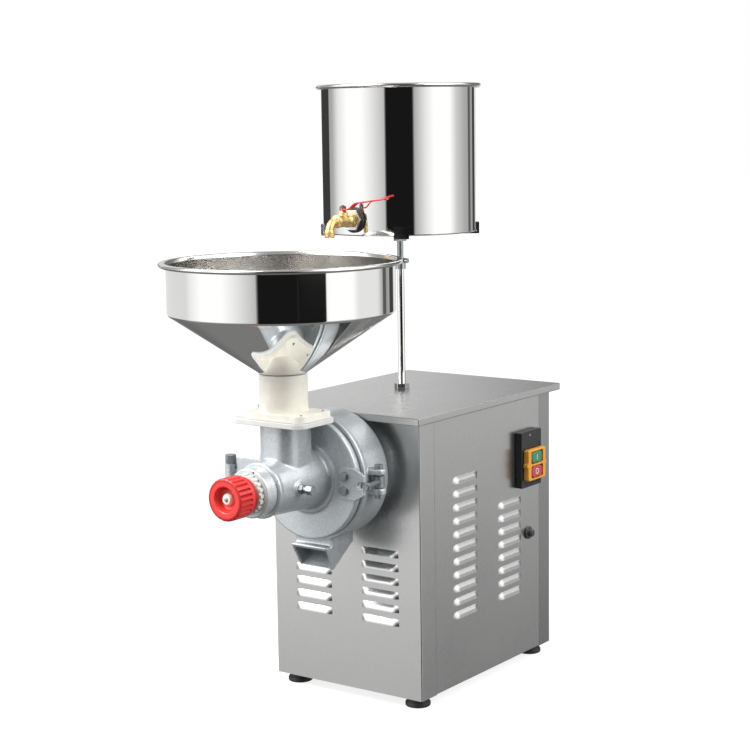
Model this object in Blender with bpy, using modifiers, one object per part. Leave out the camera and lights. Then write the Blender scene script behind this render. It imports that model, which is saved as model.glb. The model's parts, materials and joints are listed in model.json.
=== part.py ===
"""Stone grinder for nut butter: cabinet, grinding head, hopper, and a water tank on a post."""
from math import cos, pi, radians, sin, sqrt

import bmesh
import bpy
from mathutils import Matrix, Vector

# Frame: +X to the switch side, +Y to the back, +Z up, floor at zero, all lengths in metres.
# "Ahead" is a distance in front of the cabinet's front panel.

# Clearances and counts of sides
GAP = 0.0003
OVERRUN = 0.002
BURY = 0.001
JOINT_GAP = 0.0008
SIDES_LARGE = 40
SIDES_MEDIUM = 24
SIDES_SMALL = 12
MERGE = 0.00001
UPRIGHT = (0, 0, 0)
FORWARD = (pi / 2, 0, 0)
BACKWARD = (-pi / 2, 0, 0)
RIGHTWARD = (0, pi / 2, 0)

# Cabinet
CABINET_OFFSET = -0.006
CABINET_WIDTH = 0.2852
CABINET_DEPTH = 0.3892
SHEET = 0.0015
BASE_THICKNESS = 0.002
LID_LIP = 0.0114
LID_SIDE_OVERHANG = 0.014
LID_FRONT_OVERHANG = 0.0225
LID_BACK_OVERHANG = 0.0133
FRONT_FOLD = 0.0387
BACK_FOLD = 0.0332
FOLD_RADIUS = 0.001
FOOT_HEIGHT = 0.016
FOOT_RADIUS = 0.020
FOOT_TOP_RADIUS = 0.0175
FOOT_INSET = 0.0255

# Louvres
LOUVRE_LENGTH = 0.072
LOUVRE_HEIGHT = 0.0115
LOUVRE_DEPTH = 0.0052
LOUVRE_END = 0.009
LOUVRE_WALL = 0.0012
LOUVRE_PITCH = 0.0218
LOUVRE_SLIT = 0.0005
LOUVRE_SINK = 0.0002
FRONT_LOUVRE_SPREAD = 0.0652
FRONT_LOUVRE_LOW = 0.1141
FRONT_LOUVRE_ROWS = 6
DOOR_LOUVRE_LOW = 0.110
DOOR_FRONT_LOUVRE_SHARE = 0.2714
DOOR_FRONT_LOUVRE_ROWS = 11
DOOR_BACK_LOUVRE_SHARE = 0.6990
DOOR_BACK_LOUVRE_ROWS = 8

# Side door, its hinge and its lock
DOOR_TOP_CLEARANCE = 0.0025
DOOR_PIN_RADIUS = 0.001
DOOR_LEAF_WIDTH = 0.014
DOOR_LEAF_THICKNESS = 0.0012
DOOR_RISER_WIDTH = 0.001
LOCK_INSET = 0.0374
LOCK_HEIGHT = 0.206
LOCK_HEAD_RADIUS = 0.0108
LOCK_HEAD_LENGTH = 0.0105
LOCK_RIM = 0.0012
LOCK_PLATE_THICKNESS = 0.0035
LOCK_KNOB_RADIUS = 0.0062
LOCK_SLOT_WIDTH = 0.0024
LOCK_SLOT_DEPTH = 0.002
LOCK_BODY_RADIUS = 0.008
LOCK_CAM_WIDTH = 0.014
LOCK_CAM_THICKNESS = 0.002
LOCK_CAM_CLEARANCE = 0.0006
LOCK_CAM_OVERLAP = 0.009

# Switch
SWITCH_BOX_WIDTH = 0.063
SWITCH_BOX_HEIGHT = 0.094
SWITCH_BOX_DEPTH = 0.012
SWITCH_INSET = 0.045
SWITCH_DROP = 0.1011
SWITCH_BEVEL = 0.002
GUARD_WIDTH = 0.055
GUARD_HEIGHT = 0.052
GUARD_DEPTH = 0.010
GUARD_DROP = 0.0085
GUARD_SHIFT = 0.001
GUARD_NIB_WIDTH = 0.005
GUARD_NIB_HEIGHT = 0.007
BUTTON_WIDTH = 0.036
BUTTON_HEIGHT = 0.020
BUTTON_PROUD = 0.007
BUTTON_TRAVEL = 0.003
BUTTON_SLIDE_GAP = 0.0005
BUTTON_BAR = 0.003

# Cable gland in the rear panel
GLAND_HEIGHT = 0.060
GLAND_OFFSET = 0.070
GLAND_RADIUS = 0.011
GLAND_LENGTH = 0.012
GLAND_BODY_RADIUS = 0.008
GLAND_BORE_RADIUS = 0.004
GLAND_INSIDE = 0.010

# Drive
MOTOR_RADIUS = 0.060
MOTOR_LENGTH = 0.190
MOTOR_SETBACK = 0.125
MOTOR_AXIS_RISE = 0.072
MOTOR_BELL_RADIUS = 0.050
MOTOR_BELL_LENGTH = 0.014
MOTOR_FOOT_LENGTH = 0.110
MOTOR_FOOT_WIDTH = 0.030
MOTOR_FOOT_SPREAD = 0.040
MOTOR_SHAFT_RADIUS = 0.0095
MOTOR_BORE_DEPTH = 0.012
MOTOR_PULLEY_RADIUS = 0.035
SPINDLE_PULLEY_RADIUS = 0.050
PULLEY_WIDTH = 0.022
PULLEY_SETBACK = 0.084
PULLEY_GROOVE_DEPTH = 0.009
PULLEY_LAND = 0.003
BELT_THICKNESS = 0.008
BELT_WIDTH = 0.011
BELT_SIDES = 32

# Spindle line
SPINDLE_HEIGHT = 0.359
NECK_LID_CLEARANCE = 0.0096
SPINDLE_RADIUS = 0.0125
SPINDLE_END_CLEARANCE = 0.006
SPINDLE_FLANGE_RADIUS = 0.045
SPINDLE_FLANGE_THICKNESS = 0.0025
BEARING_RADIUS = 0.040
BEARING_LENGTH = 0.060
BEARING_FLANGE_RADIUS = 0.056
BEARING_FLANGE_THICKNESS = 0.010
PANEL_HOLE_RADIUS = 0.020

# Rear housing
NECK_RADIUS = 0.070
NECK_LENGTH = 0.026
DRUM_RADIUS = 0.0985
DRUM_LENGTH = 0.066
DRUM_EDGE = 0.003
RIM_RADIUS = 0.1005
RIM_LENGTH = 0.008
HOUSING_BORE_RADIUS = 0.017
CHAMBER_RADIUS = 0.080
CHAMBER_DEPTH = 0.047
CHUTE_REACH = 0.104
CHUTE_BACK = 0.034
CHUTE_LIP_REACH = 0.085
CHUTE_LIP_DEPTH = 0.004
CHUTE_TOP_DROP = 0.1065
CHUTE_LIP_DROP = 0.1445
CHUTE_TOP_WIDTH = 0.070
CHUTE_LIP_WIDTH = 0.063
CHUTE_WALL = 0.004
CHUTE_TOP_BAR = 0.006
CHUTE_LIP_WALL = 0.003
DROP_SLOT_WIDTH = 0.040
DROP_SLOT_LENGTH = 0.022
DROP_SLOT_BACK = 0.052

# Stones and feed screw
STONE_RADIUS = 0.072
ROTOR_THICKNESS = 0.020
STATOR_THICKNESS = 0.0235
STONE_BEVEL = 0.0015
STATOR_EYE_RADIUS = 0.0285
SCREW_RADIUS = 0.016
SCREW_CORE_RADIUS = 0.008
SCREW_REACH = 0.055
SCREW_PITCH = 0.026
SCREW_FLIGHT_THICKNESS = 0.004
SCREW_STEPS_PER_TURN = 20
SCREW_END_LAND = 0.004

# Front cover with boss, duct and flange
GASKET_THICKNESS = 0.001
GASKET_WIDTH = 0.011
COVER_RADIUS = 0.0955
COVER_THICKNESS = 0.0114
COVER_EDGE = 0.003
BOSS_LENGTH = 0.1155
BOSS_ROOT_RADIUS = 0.046
BOSS_TIP_RADIUS = 0.0405
BOSS_FOOT_RADIUS = 0.053
BOSS_FOOT_RISE = 0.002
BOSS_FILLET = 0.006
BOSS_RING_RADIUS = 0.042
BOSS_RING_LENGTH = 0.007
BOSS_RING_STEP = 0.0015
BOSS_BORE_RADIUS = 0.0285
BOSS_END_WALL = 0.030
DUCT_AHEAD = 0.1563
DUCT_WIDTH = 0.066
DUCT_DEPTH = 0.074
DUCT_CORNER = 0.018
DUCT_RISE = 0.0927
DUCT_SINK = 0.020
DUCT_BORE_RADIUS = 0.024
CAST_FLANGE_LENGTH = 0.136
CAST_FLANGE_WIDTH = 0.092
CAST_FLANGE_THICKNESS = 0.0078
CAST_FLANGE_SHIFT = -0.002
FLANGE_CORNER = 0.017
DUCT_SETBACK = 0.003

# Hinge of the front cover
HINGE_OFFSET = 0.145
HINGE_AHEAD = 0.111
HINGE_PIN_RADIUS = 0.005
HINGE_KNUCKLE_RADIUS = 0.0095
HINGE_LEAF_HEIGHT = 0.019
HINGE_LEAF_THICKNESS = 0.0055
HINGE_LEAF_END = 0.060
HINGE_LEAF_RISE = 0.018
HINGE_BOLT_RISE = 0.008
HINGE_LEAF_CLEARANCE = 0.002
HINGE_KNUCKLE_HEIGHT = 0.0082
HINGE_HEAD_FLATS = 0.0155
HINGE_HEAD_HEIGHT = 0.0135
HINGE_BRACKET_THICKNESS = 0.010
HINGE_BOLT_OFFSETS = (0.087, 0.070)
BOLT_FLATS = 0.013
BOLT_HEAD_HEIGHT = 0.0055
BOLT_SHANK_RADIUS = 0.004
BOLT_SHANK_LENGTH = 0.0045

# Latch of the front cover
LATCH_OFFSET = 0.110
LATCH_AHEAD = 0.070
LATCH_REST_TURN = radians(13)
LATCH_PIN_RADIUS = 0.004
LATCH_PIN_HEAD_RADIUS = 0.0068
LATCH_PIN_HEAD_HEIGHT = 0.006
EAR_RADIUS = 0.011
EAR_THICKNESS = 0.009
EAR_GAP = 0.021
EYE_RADIUS = 0.0088
EYE_HEIGHT = 0.017
SWING_BOLT_RADIUS = 0.004
SWING_BOLT_LENGTH = 0.053
CLAMP_PLATE_START = 0.067
CLAMP_PLATE_HEIGHT = 0.049
CLAMP_PLATE_TIP_HEIGHT = 0.030
CLAMP_PLATE_THICKNESS = 0.006
CLAMP_PLATE_SHOULDER = 0.095
CLAMP_PRONG = 0.002
CLAMP_SLOT = 0.010
CLAMP_BOLT_OFFSET = 0.076
CLAMP_BOLT_SPACING = 0.022
LATCH_NUT_FLATS = 0.011
LATCH_NUT_HEIGHT = 0.007
LATCH_NUT_AIR = 0.001

# Side lock bolt of the boss
LOCK_BOLT_AHEAD = 0.176
LOCK_BOLT_RADIUS = 0.005
LOCK_BOLT_PROUD = 0.023
LOCK_BOLT_FLATS = 0.013
LOCK_BOLT_HEAD = 0.010
LOCK_BOLT_NUT_HEIGHT = 0.006
LOCK_BOLT_DEPTH = 0.008
LOCK_PAD_RADIUS = 0.010

# Grind adjuster
SLEEVE_RADIUS = 0.037
SLEEVE_LENGTH = 0.0222
SLEEVE_EDGE = 0.0015
THREAD_NECK_RADIUS = 0.0155
THREAD_NECK_LENGTH = 0.012
LOCK_RING_RADIUS = 0.0305
LOCK_RING_ROOT_RADIUS = 0.0280
LOCK_RING_THICKNESS = 0.0085
LOCK_RING_NOTCHES = 20
THRUST_PIN_RADIUS = 0.006
THRUST_PIN_AIR = 0.0015
HANDWHEEL_AIR = 0.0015
HANDWHEEL_BACK_RADIUS = 0.0320
HANDWHEEL_FRONT_RADIUS = 0.0316
HANDWHEEL_NECK_RADIUS = 0.0285
HANDWHEEL_NECK_DEPTH = 0.0075
HANDWHEEL_DEPTH = 0.040
HANDWHEEL_DISH_RADIUS = 0.0200
HANDWHEEL_DISH_DEPTH = 0.0125
HANDWHEEL_HUB_RADIUS = 0.0088
HANDWHEEL_HUB_RISE = 0.0085
HANDWHEEL_SOCKET_DEPTH = 0.010
HANDWHEEL_RIBS = 24
HANDWHEEL_RIB_HEIGHT = 0.0016
HANDWHEEL_RIB_LENGTH = 0.0215
HANDWHEEL_RIB_START = 0.0145

# Feed spout and hopper
SPOUT_FLANGE_LENGTH = 0.114
SPOUT_FLANGE_WIDTH = 0.080
SPOUT_FLANGE_THICKNESS = 0.010
SPOUT_FLANGE_SHIFT = 0.006
SPOUT_FLANGE_CORNER = 0.014
SPOUT_RADIUS = 0.0365
SPOUT_BORE_RADIUS = 0.0305
SPOUT_HEIGHT = 0.0660
SPOUT_BEVEL = 0.0012
HOPPER_SHEET = 0.001
HOPPER_NECK_SEAT = 0.012
HOPPER_NECK_RADIUS = 0.0300
HOPPER_SEAT_RADIUS = 0.0355
HOPPER_CONE_HEIGHT = 0.0910
HOPPER_WALL_HEIGHT = 0.0760
HOPPER_WALL_RADIUS = 0.169
HOPPER_LIP_RADIUS = 0.179
HOPPER_KNEE = 0.004
HOPPER_ROLL_RADIUS = 0.0035

# Water post, cradle and tank
POST_OFFSET = -0.039
POST_SETBACK = 0.215
POST_NUT_FLATS = 0.022
POST_NUT_HEIGHT = 0.009
POST_RADIUS = 0.0062
POST_TUBE_HEIGHT = 0.2095
POST_ROD_RADIUS = 0.0053
POST_ROD_SEAT = 0.165
COLLAR_RADIUS = 0.0088
COLLAR_HEIGHT = 0.018
COLLAR_OVERLAP = 0.009
CLAMP_SCREW_RADIUS = 0.0022
CLAMP_SCREW_HEAD_RADIUS = 0.0042
CLAMP_SCREW_HEAD_LENGTH = 0.005
CLAMP_SCREW_PROUD = 0.0015
CRADLE_HEIGHT = 0.2580
ROD_NUT_FLATS = 0.019
ROD_NUT_HEIGHT = 0.011
CRADLE_THICKNESS = 0.0035
CRADLE_BAR_WIDTH = 0.024
CRADLE_TAB_HEIGHT = 0.0150
CRADLE_TURN = radians(36)
CRADLE_HUB_RADIUS = 0.019
CRADLE_HUB_STEP = 0.0004
CRADLE_TANK_GAP = 0.0006
ROD_TIP_RADIUS = 0.0037
TANK_RADIUS = 0.126
TANK_HEIGHT = 0.2390
TANK_SHEET = 0.001
TANK_CORNER = 0.002
TANK_LIP = 0.0075
TANK_ROLL_RADIUS = 0.0032

# Tap
TAP_RISE = 0.026
TAP_WASHER_RADIUS = 0.0205
TAP_WASHER_THICKNESS = 0.003
TAP_NUT_FLATS = 0.031
TAP_NUT_THICKNESS = 0.006
TAP_THREAD_RADIUS = 0.0095
TAP_THREAD_INSIDE = 0.012
TAP_COLLAR_RADIUS = 0.0112
TAP_COLLAR_LENGTH = 0.010
TAP_BODY_RADIUS = 0.0105
TAP_BODY_LENGTH = 0.030
TAP_SPOUT_RADIUS = 0.0080
TAP_SPOUT_REACH = 0.016
TAP_SPOUT_DROP = 0.0245
TAP_STEM_RADIUS = 0.0070
TAP_STEM_HEIGHT = 0.0165
TAP_STEM_SETBACK = 0.020
LEVER_LENGTH = 0.088
LEVER_WIDTH = 0.012
LEVER_THICKNESS = 0.0025
LEVER_RISE = 0.0110
LEVER_TIP_RISE = 0.0188
LEVER_BEND_SHARE = 0.13
LEVER_RISE_END_SHARE = 0.31
LEVER_CAP_RADIUS = 0.0065
LEVER_CAP_HEIGHT = 0.006

# Colours: red, green, blue, roughness, metallic
STEEL_SATIN = (0.62, 0.62, 0.61, 0.34, 1.0)
STEEL_MIRROR = (0.80, 0.80, 0.80, 0.06, 1.0)
STEEL_PLAIN = (0.60, 0.61, 0.62, 0.30, 1.0)
CAST_PAINT = (0.42, 0.46, 0.48, 0.42, 0.3)
CREAM = (0.86, 0.82, 0.70, 0.45, 0.0)
RED = (0.78, 0.06, 0.07, 0.35, 0.0)
BLACK = (0.02, 0.02, 0.022, 0.5, 0.0)
RUBBER = (0.015, 0.015, 0.015, 0.8, 0.0)
YELLOW = (0.85, 0.52, 0.06, 0.4, 0.0)
GREEN = (0.05, 0.38, 0.22, 0.4, 0.0)
BRASS = (0.80, 0.58, 0.22, 0.25, 1.0)
STONE = (0.55, 0.53, 0.50, 0.9, 0.0)
ENAMEL = (0.10, 0.16, 0.24, 0.5, 0.0)
IRON = (0.20, 0.20, 0.21, 0.5, 0.8)

# Places that follow from the sizes
LEFT = CABINET_OFFSET - CABINET_WIDTH / 2
RIGHT = CABINET_OFFSET + CABINET_WIDTH / 2
HOPPER_REACH = HOPPER_LIP_RADIUS + HOPPER_SHEET
FRONT = (DUCT_AHEAD + HOPPER_REACH - CABINET_DEPTH - LID_BACK_OVERHANG) / 2
BACK = FRONT + CABINET_DEPTH
BASE = FOOT_HEIGHT
SPINDLE = BASE + SPINDLE_HEIGHT
LID_TOP = SPINDLE + NECK_RADIUS + NECK_LID_CLEARANCE + LID_LIP
PANEL_TOP = LID_TOP - SHEET - GAP
DOOR_TOP = LID_TOP - LID_LIP - DOOR_TOP_CLEARANCE
PULLEY_FRONT = FRONT + PULLEY_SETBACK
MOTOR_FRONT = FRONT + MOTOR_SETBACK
MOTOR_AXIS = BASE + BASE_THICKNESS + GAP + MOTOR_AXIS_RISE
RIM_AHEAD = NECK_LENGTH + DRUM_LENGTH
CHAMBER_AHEAD = RIM_AHEAD - CHAMBER_DEPTH
COVER_AHEAD = RIM_AHEAD + GASKET_THICKNESS + 2 * GAP
COVER_FACE = COVER_AHEAD + COVER_THICKNESS
BOSS_FACE = COVER_FACE + BOSS_LENGTH
SLEEVE_AHEAD = BOSS_FACE + GAP
SLEEVE_FACE = SLEEVE_AHEAD + SLEEVE_LENGTH
THREAD_END = SLEEVE_FACE + THREAD_NECK_LENGTH
WHEEL_AHEAD = THREAD_END + HANDWHEEL_AIR + GAP
STATOR_FACE = COVER_AHEAD - GAP
STATOR_BACK = STATOR_FACE - STATOR_THICKNESS
ROTOR_FACE = STATOR_BACK - 2 * GAP
ROTOR_BACK = ROTOR_FACE - ROTOR_THICKNESS
SCREW_BACK = ROTOR_FACE + GAP
SCREW_TIP = COVER_AHEAD + SCREW_REACH
DUCT_Y = FRONT - DUCT_AHEAD
DUCT_TOP = SPINDLE + DUCT_RISE
CAST_FLANGE_TOP = DUCT_TOP + CAST_FLANGE_THICKNESS
SPOUT_BASE = CAST_FLANGE_TOP + GAP
SPOUT_TOP = SPOUT_BASE + SPOUT_HEIGHT
HINGE_X = -HINGE_OFFSET
HINGE_Y = FRONT - HINGE_AHEAD
LATCH_X = LATCH_OFFSET
LATCH_Y = FRONT - LATCH_AHEAD
CLAMP_FACE = COVER_FACE + GAP + CLAMP_PLATE_THICKNESS
POST_X = CABINET_OFFSET + POST_OFFSET
POST_Y = FRONT + POST_SETBACK
POST_FOOT = LID_TOP + GAP
POST_TUBE_TOP = LID_TOP + POST_TUBE_HEIGHT
CRADLE_BASE = LID_TOP + CRADLE_HEIGHT
TANK_BASE = CRADLE_BASE + CRADLE_THICKNESS + CRADLE_TANK_GAP
TAP_Z = TANK_BASE + TAP_RISE
TAP_WALL_Y = POST_Y - TANK_RADIUS
DOOR_FRONT = FRONT + FRONT_FOLD
DOOR_BACK = BACK - BACK_FOLD
DOOR_HINGE_X = RIGHT - SHEET / 2
DOOR_HINGE_Y = DOOR_FRONT + DOOR_PIN_RADIUS + GAP
LOCK_Y = DOOR_BACK - LOCK_INSET
SWITCH_Y = DOOR_BACK - SWITCH_INSET
SWITCH_Z = DOOR_TOP - SWITCH_DROP
SWITCH_FACE = RIGHT + GAP + SWITCH_BOX_DEPTH
GUARD_Y = SWITCH_Y + GUARD_SHIFT
GUARD_Z = SWITCH_Z - GUARD_DROP


# Scene, collections and materials

def empty_scene():
    for thing in list(bpy.data.objects):
        bpy.data.objects.remove(thing, do_unlink=True)


def new_collection(name):
    group = bpy.data.collections.new(name)
    bpy.context.scene.collection.children.link(group)
    return group


empty_scene()
PARTS = new_collection("nut_butter_grinder")
CUTTERS = new_collection("cutters")


def material_of(name, look):
    red, green, blue, roughness, metallic = look
    finish = bpy.data.materials.new(name)
    finish.use_nodes = True
    shader = finish.node_tree.nodes["Principled BSDF"]
    shader.inputs["Base Color"].default_value = (red, green, blue, 1.0)
    shader.inputs["Roughness"].default_value = roughness
    shader.inputs["Metallic"].default_value = metallic
    return finish


# Helpers that make objects

def mesh_from(build, name):
    shape = bmesh.new()
    build(shape)
    mesh = bpy.data.meshes.new(name)
    shape.to_mesh(mesh)
    shape.free()
    return mesh


def put(name, mesh, look, location=(0, 0, 0), rotation=UPRIGHT):
    """Add a finished piece of the grinder, with its own material."""
    piece = bpy.data.objects.new(name, mesh)
    piece.location = location
    piece.rotation_euler = rotation
    mesh.materials.append(material_of(name, look))
    PARTS.objects.link(piece)
    return piece


def tool(name, mesh, location=(0, 0, 0), rotation=UPRIGHT):
    """Add a shape that only cuts or joins another."""
    shape = bpy.data.objects.new(name, mesh)
    shape.location = location
    shape.rotation_euler = rotation
    shape.hide_render = True
    shape.display_type = "WIRE"
    CUTTERS.objects.link(shape)
    return shape


def combine(piece, shape, operation):
    step = piece.modifiers.new(shape.name, "BOOLEAN")
    step.operation = operation
    step.object = shape
    step.solver = "EXACT"


def cut(piece, shape):
    combine(piece, shape, "DIFFERENCE")


def join(piece, shape):
    combine(piece, shape, "UNION")


def soften(piece, width, segments=1):
    edge = piece.modifiers.new("soft edges", "BEVEL")
    edge.width = width
    edge.segments = segments
    edge.limit_method = "ANGLE"
    edge.angle_limit = radians(40)


def round_off(mesh):
    mesh.shade_smooth()
    mesh.set_sharp_from_angle(angle=radians(35))
    return mesh


# Helpers that make meshes

def box_mesh(low, high):
    """A box between two opposite corners."""
    def build(shape):
        size = Vector(high) - Vector(low)
        middle = (Vector(high) + Vector(low)) / 2
        place = Matrix.Translation(middle) @ Matrix.Diagonal((size.x, size.y, size.z, 1))
        bmesh.ops.create_cube(shape, size=1, matrix=place)
    return mesh_from(build, "box")


def rod_mesh(radius, length, sides=SIDES_SMALL, tip_radius=None, turn=0):
    """A cylinder or cone that stands on the origin along local Z."""
    tip = radius if tip_radius is None else tip_radius

    def build(shape):
        place = Matrix.Translation((0, 0, length / 2)) @ Matrix.Rotation(turn, 4, "Z")
        bmesh.ops.create_cone(shape, cap_ends=True, segments=sides, radius1=radius,
                              radius2=tip, depth=length, matrix=place)
    return round_off(mesh_from(build, "rod"))


def hexagon_mesh(flats, height):
    """A hexagonal prism along local Z, given across its flats."""
    return rod_mesh(flats / sqrt(3), height, sides=6)


def stretched_rod_mesh(radius, thickness, back=0, forth=0, sides=SIDES_MEDIUM):
    """A disc whose two halves are drawn apart along X, so its ends stay round."""
    def build(shape):
        place = Matrix.Translation((0, 0, thickness / 2)) @ Matrix.Rotation(pi / sides, 4, "Z")
        bmesh.ops.create_cone(shape, cap_ends=True, segments=sides, radius1=radius,
                              radius2=radius, depth=thickness, matrix=place)
        for corner in shape.verts:
            corner.co.x += forth if corner.co.x > 0 else -back
    return round_off(mesh_from(build, "stretched rod"))


def wedge_mesh(top, bottom):
    """A block between two level rectangles: (low x, high x, low y, high y, z) each."""
    def build(shape):
        bmesh.ops.create_cube(shape, size=2)
        for corner in shape.verts:
            x0, x1, y0, y1, z = top if corner.co.z > 0 else bottom
            corner.co = Vector((x1 if corner.co.x > 0 else x0, y1 if corner.co.y > 0 else y0, z))
    return mesh_from(build, "wedge")


def line_mesh(points, closed):
    def build(shape):
        corners = [shape.verts.new(point) for point in points]
        for first, second in zip(corners, corners[1:]):
            shape.edges.new((first, second))
        if closed:
            shape.edges.new((corners[-1], corners[0]))
    return mesh_from(build, "line")


def profile_mesh(profile, closed):
    return line_mesh([(radius, 0, height) for radius, height in profile], closed)


def turn_profile(piece, sides):
    """Turn a profile into a solid with a Screw."""
    screw = piece.modifiers.new("turn", "SCREW")
    screw.axis = "Z"
    screw.steps = sides
    screw.render_steps = sides
    screw.use_merge_vertices = True
    screw.merge_threshold = MERGE
    screw.use_smooth_shade = True
    return piece


def turned(name, profile, look, location, rotation=UPRIGHT, sides=SIDES_MEDIUM, closed=False):
    piece = put(name, profile_mesh(profile, closed), look, location, rotation)
    return turn_profile(piece, sides)


def turned_tool(name, profile, location, rotation=UPRIGHT, sides=SIDES_MEDIUM, closed=False):
    return turn_profile(tool(name, profile_mesh(profile, closed), location, rotation), sides)


def thicken(piece, thickness, offset=-1):
    wall = piece.modifiers.new("wall", "SOLIDIFY")
    wall.thickness = thickness
    wall.offset = offset
    wall.use_even_offset = True


def strip_mesh(points, rise):
    """A ribbon: a line of points drawn along a direction."""
    def build(shape):
        corners = [shape.verts.new(point) for point in points]
        edges = [shape.edges.new(pair) for pair in zip(corners, corners[1:])]
        drawn = bmesh.ops.extrude_edge_only(shape, edges=edges)["geom"]
        moved = [item for item in drawn if isinstance(item, bmesh.types.BMVert)]
        bmesh.ops.translate(shape, verts=moved, vec=Vector(rise))
    return mesh_from(build, "strip")


def plate_mesh(outline, thickness):
    """A flat plate of the given outline, half its thickness to each side of its plane."""
    curve = bpy.data.curves.new("outline", "CURVE")
    curve.dimensions = "2D"
    curve.fill_mode = "BOTH"
    curve.extrude = thickness / 2
    line = curve.splines.new("POLY")
    line.points.add(len(outline) - 1)
    for point, (x, y) in zip(line.points, outline):
        point.co = (x, y, 0, 1)
    line.use_cyclic_u = True
    return welded_curve(curve)


def tube_mesh(points, radius, resolution=2):
    """A round rod along a line of points, with filled ends."""
    curve = bpy.data.curves.new("tube", "CURVE")
    curve.dimensions = "3D"
    curve.bevel_depth = radius
    curve.bevel_resolution = resolution
    curve.use_fill_caps = True
    line = curve.splines.new("POLY")
    line.points.add(len(points) - 1)
    for point, place in zip(line.points, points):
        point.co = (*place, 1)
    return welded_curve(curve)


def welded_curve(curve):
    """The mesh of a curve, with its loose caps joined on."""
    holder = bpy.data.objects.new("curve", curve)
    bpy.context.scene.collection.objects.link(holder)
    bpy.context.view_layer.update()
    seen = holder.evaluated_get(bpy.context.evaluated_depsgraph_get())
    mesh = bpy.data.meshes.new_from_object(seen)
    bpy.data.objects.remove(holder, do_unlink=True)
    shape = bmesh.new()
    shape.from_mesh(mesh)
    bmesh.ops.remove_doubles(shape, verts=shape.verts, dist=MERGE)
    bmesh.ops.recalc_face_normals(shape, faces=shape.faces)
    shape.to_mesh(mesh)
    shape.free()
    return mesh


def arc(middle, radius, start, end, steps):
    """Points on an arc as (first, second) pairs, angles in radians."""
    turns = [start + (end - start) * step / steps for step in range(steps + 1)]
    return [(middle[0] + radius * cos(turn), middle[1] + radius * sin(turn)) for turn in turns]


# Cabinet

def hood_shape(shape, length, height, depth, end, top_y, low, places):
    """Half a lozenge that bulges to local -Y: open below, closed above, one at each place."""
    for x, z in places:
        before = set(shape.verts)
        bmesh.ops.create_uvsphere(shape, u_segments=8, v_segments=5, radius=1,
                                  matrix=Matrix.Rotation(pi / 2, 4, "Y"))
        fresh = [corner for corner in shape.verts if corner not in before]
        full = 1 / sin(2 * pi / 5)
        for corner in fresh:
            side = 1 if corner.co.x > 0 else -1
            corner.co = Vector((corner.co.x * end + side * (length / 2 - end),
                                corner.co.y * depth * full, corner.co.z * height * full))
        for point, normal in (((0, 0, -low), (0, 0, -1)), ((0, top_y, 0), (0, 1, 0))):
            alive = [corner for corner in shape.verts if corner not in before]
            edges = {edge for corner in alive for edge in corner.link_edges}
            faces = {face for corner in alive for face in corner.link_faces}
            result = bmesh.ops.bisect_plane(shape, geom=alive + list(edges) + list(faces),
                                            dist=MERGE, plane_co=point, plane_no=normal,
                                            clear_outer=True)
            rim = [item for item in result["geom_cut"] if isinstance(item, bmesh.types.BMEdge)]
            bmesh.ops.contextual_create(shape, geom=rim)
        alive = [corner for corner in shape.verts if corner not in before]
        bmesh.ops.translate(shape, verts=alive, vec=(x, LOUVRE_SINK, z - height / 2))


def add_louvres(piece, places, location, rotation):
    """Press louvres out of a sheet: join the hoods, then hollow them from behind."""
    def hoods(shape):
        hood_shape(shape, LOUVRE_LENGTH, LOUVRE_HEIGHT, LOUVRE_DEPTH, LOUVRE_END,
                   SHEET / 2, 0, places)

    def hollows(shape):
        hood_shape(shape, LOUVRE_LENGTH - 2 * LOUVRE_WALL, LOUVRE_HEIGHT - LOUVRE_WALL,
                   LOUVRE_DEPTH - LOUVRE_WALL, LOUVRE_END - LOUVRE_WALL,
                   SHEET + OVERRUN, LOUVRE_SLIT,
                   [(x, z - LOUVRE_WALL / 2) for x, z in places])

    join(piece, tool(piece.name + "_hoods", mesh_from(hoods, "hoods"), location, rotation))
    cut(piece, tool(piece.name + "_hollows", mesh_from(hollows, "hollows"), location, rotation))


def louvre_column(across, low, rows):
    return [(across, low + LOUVRE_PITCH * row) for row in range(rows)]


def folded_panel(name, points):
    """A sheet that stands on the cabinet's base line and is folded round its corners."""
    mesh = strip_mesh([(x, y, BASE) for x, y in points], (0, 0, PANEL_TOP - BASE))
    panel = put(name, mesh, STEEL_SATIN)
    thicken(panel, SHEET, offset=0)
    return panel


def make_front_panel():
    half = SHEET / 2
    panel = folded_panel("front_panel", [(LEFT, FRONT + half), (RIGHT - half, FRONT + half),
                                         (RIGHT - half, DOOR_FRONT)])
    low = BASE + FRONT_LOUVRE_LOW
    places = louvre_column(-FRONT_LOUVRE_SPREAD, low, FRONT_LOUVRE_ROWS)
    places += louvre_column(FRONT_LOUVRE_SPREAD, low, FRONT_LOUVRE_ROWS)
    add_louvres(panel, places, (CABINET_OFFSET, FRONT, 0), UPRIGHT)
    hole = rod_mesh(PANEL_HOLE_RADIUS, SHEET + 2 * OVERRUN, SIDES_MEDIUM)
    cut(panel, tool("panel_hole", hole, (0, FRONT - OVERRUN, SPINDLE), BACKWARD))


def make_rear_panel():
    half = SHEET / 2
    panel = folded_panel("rear_panel", [(RIGHT - half, DOOR_BACK), (RIGHT - half, BACK - half),
                                        (LEFT, BACK - half)])
    hole = rod_mesh(GLAND_BODY_RADIUS + GAP, SHEET + 2 * OVERRUN)
    place = (CABINET_OFFSET + GLAND_OFFSET, BACK - SHEET - OVERRUN, BASE + GLAND_HEIGHT)
    cut(panel, tool("gland_hole", hole, place, BACKWARD))


def make_left_panel():
    low = (LEFT, FRONT + SHEET + GAP, BASE)
    high = (LEFT + SHEET, BACK - SHEET - GAP, PANEL_TOP)
    put("left_panel", box_mesh(low, high), STEEL_SATIN)


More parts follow.
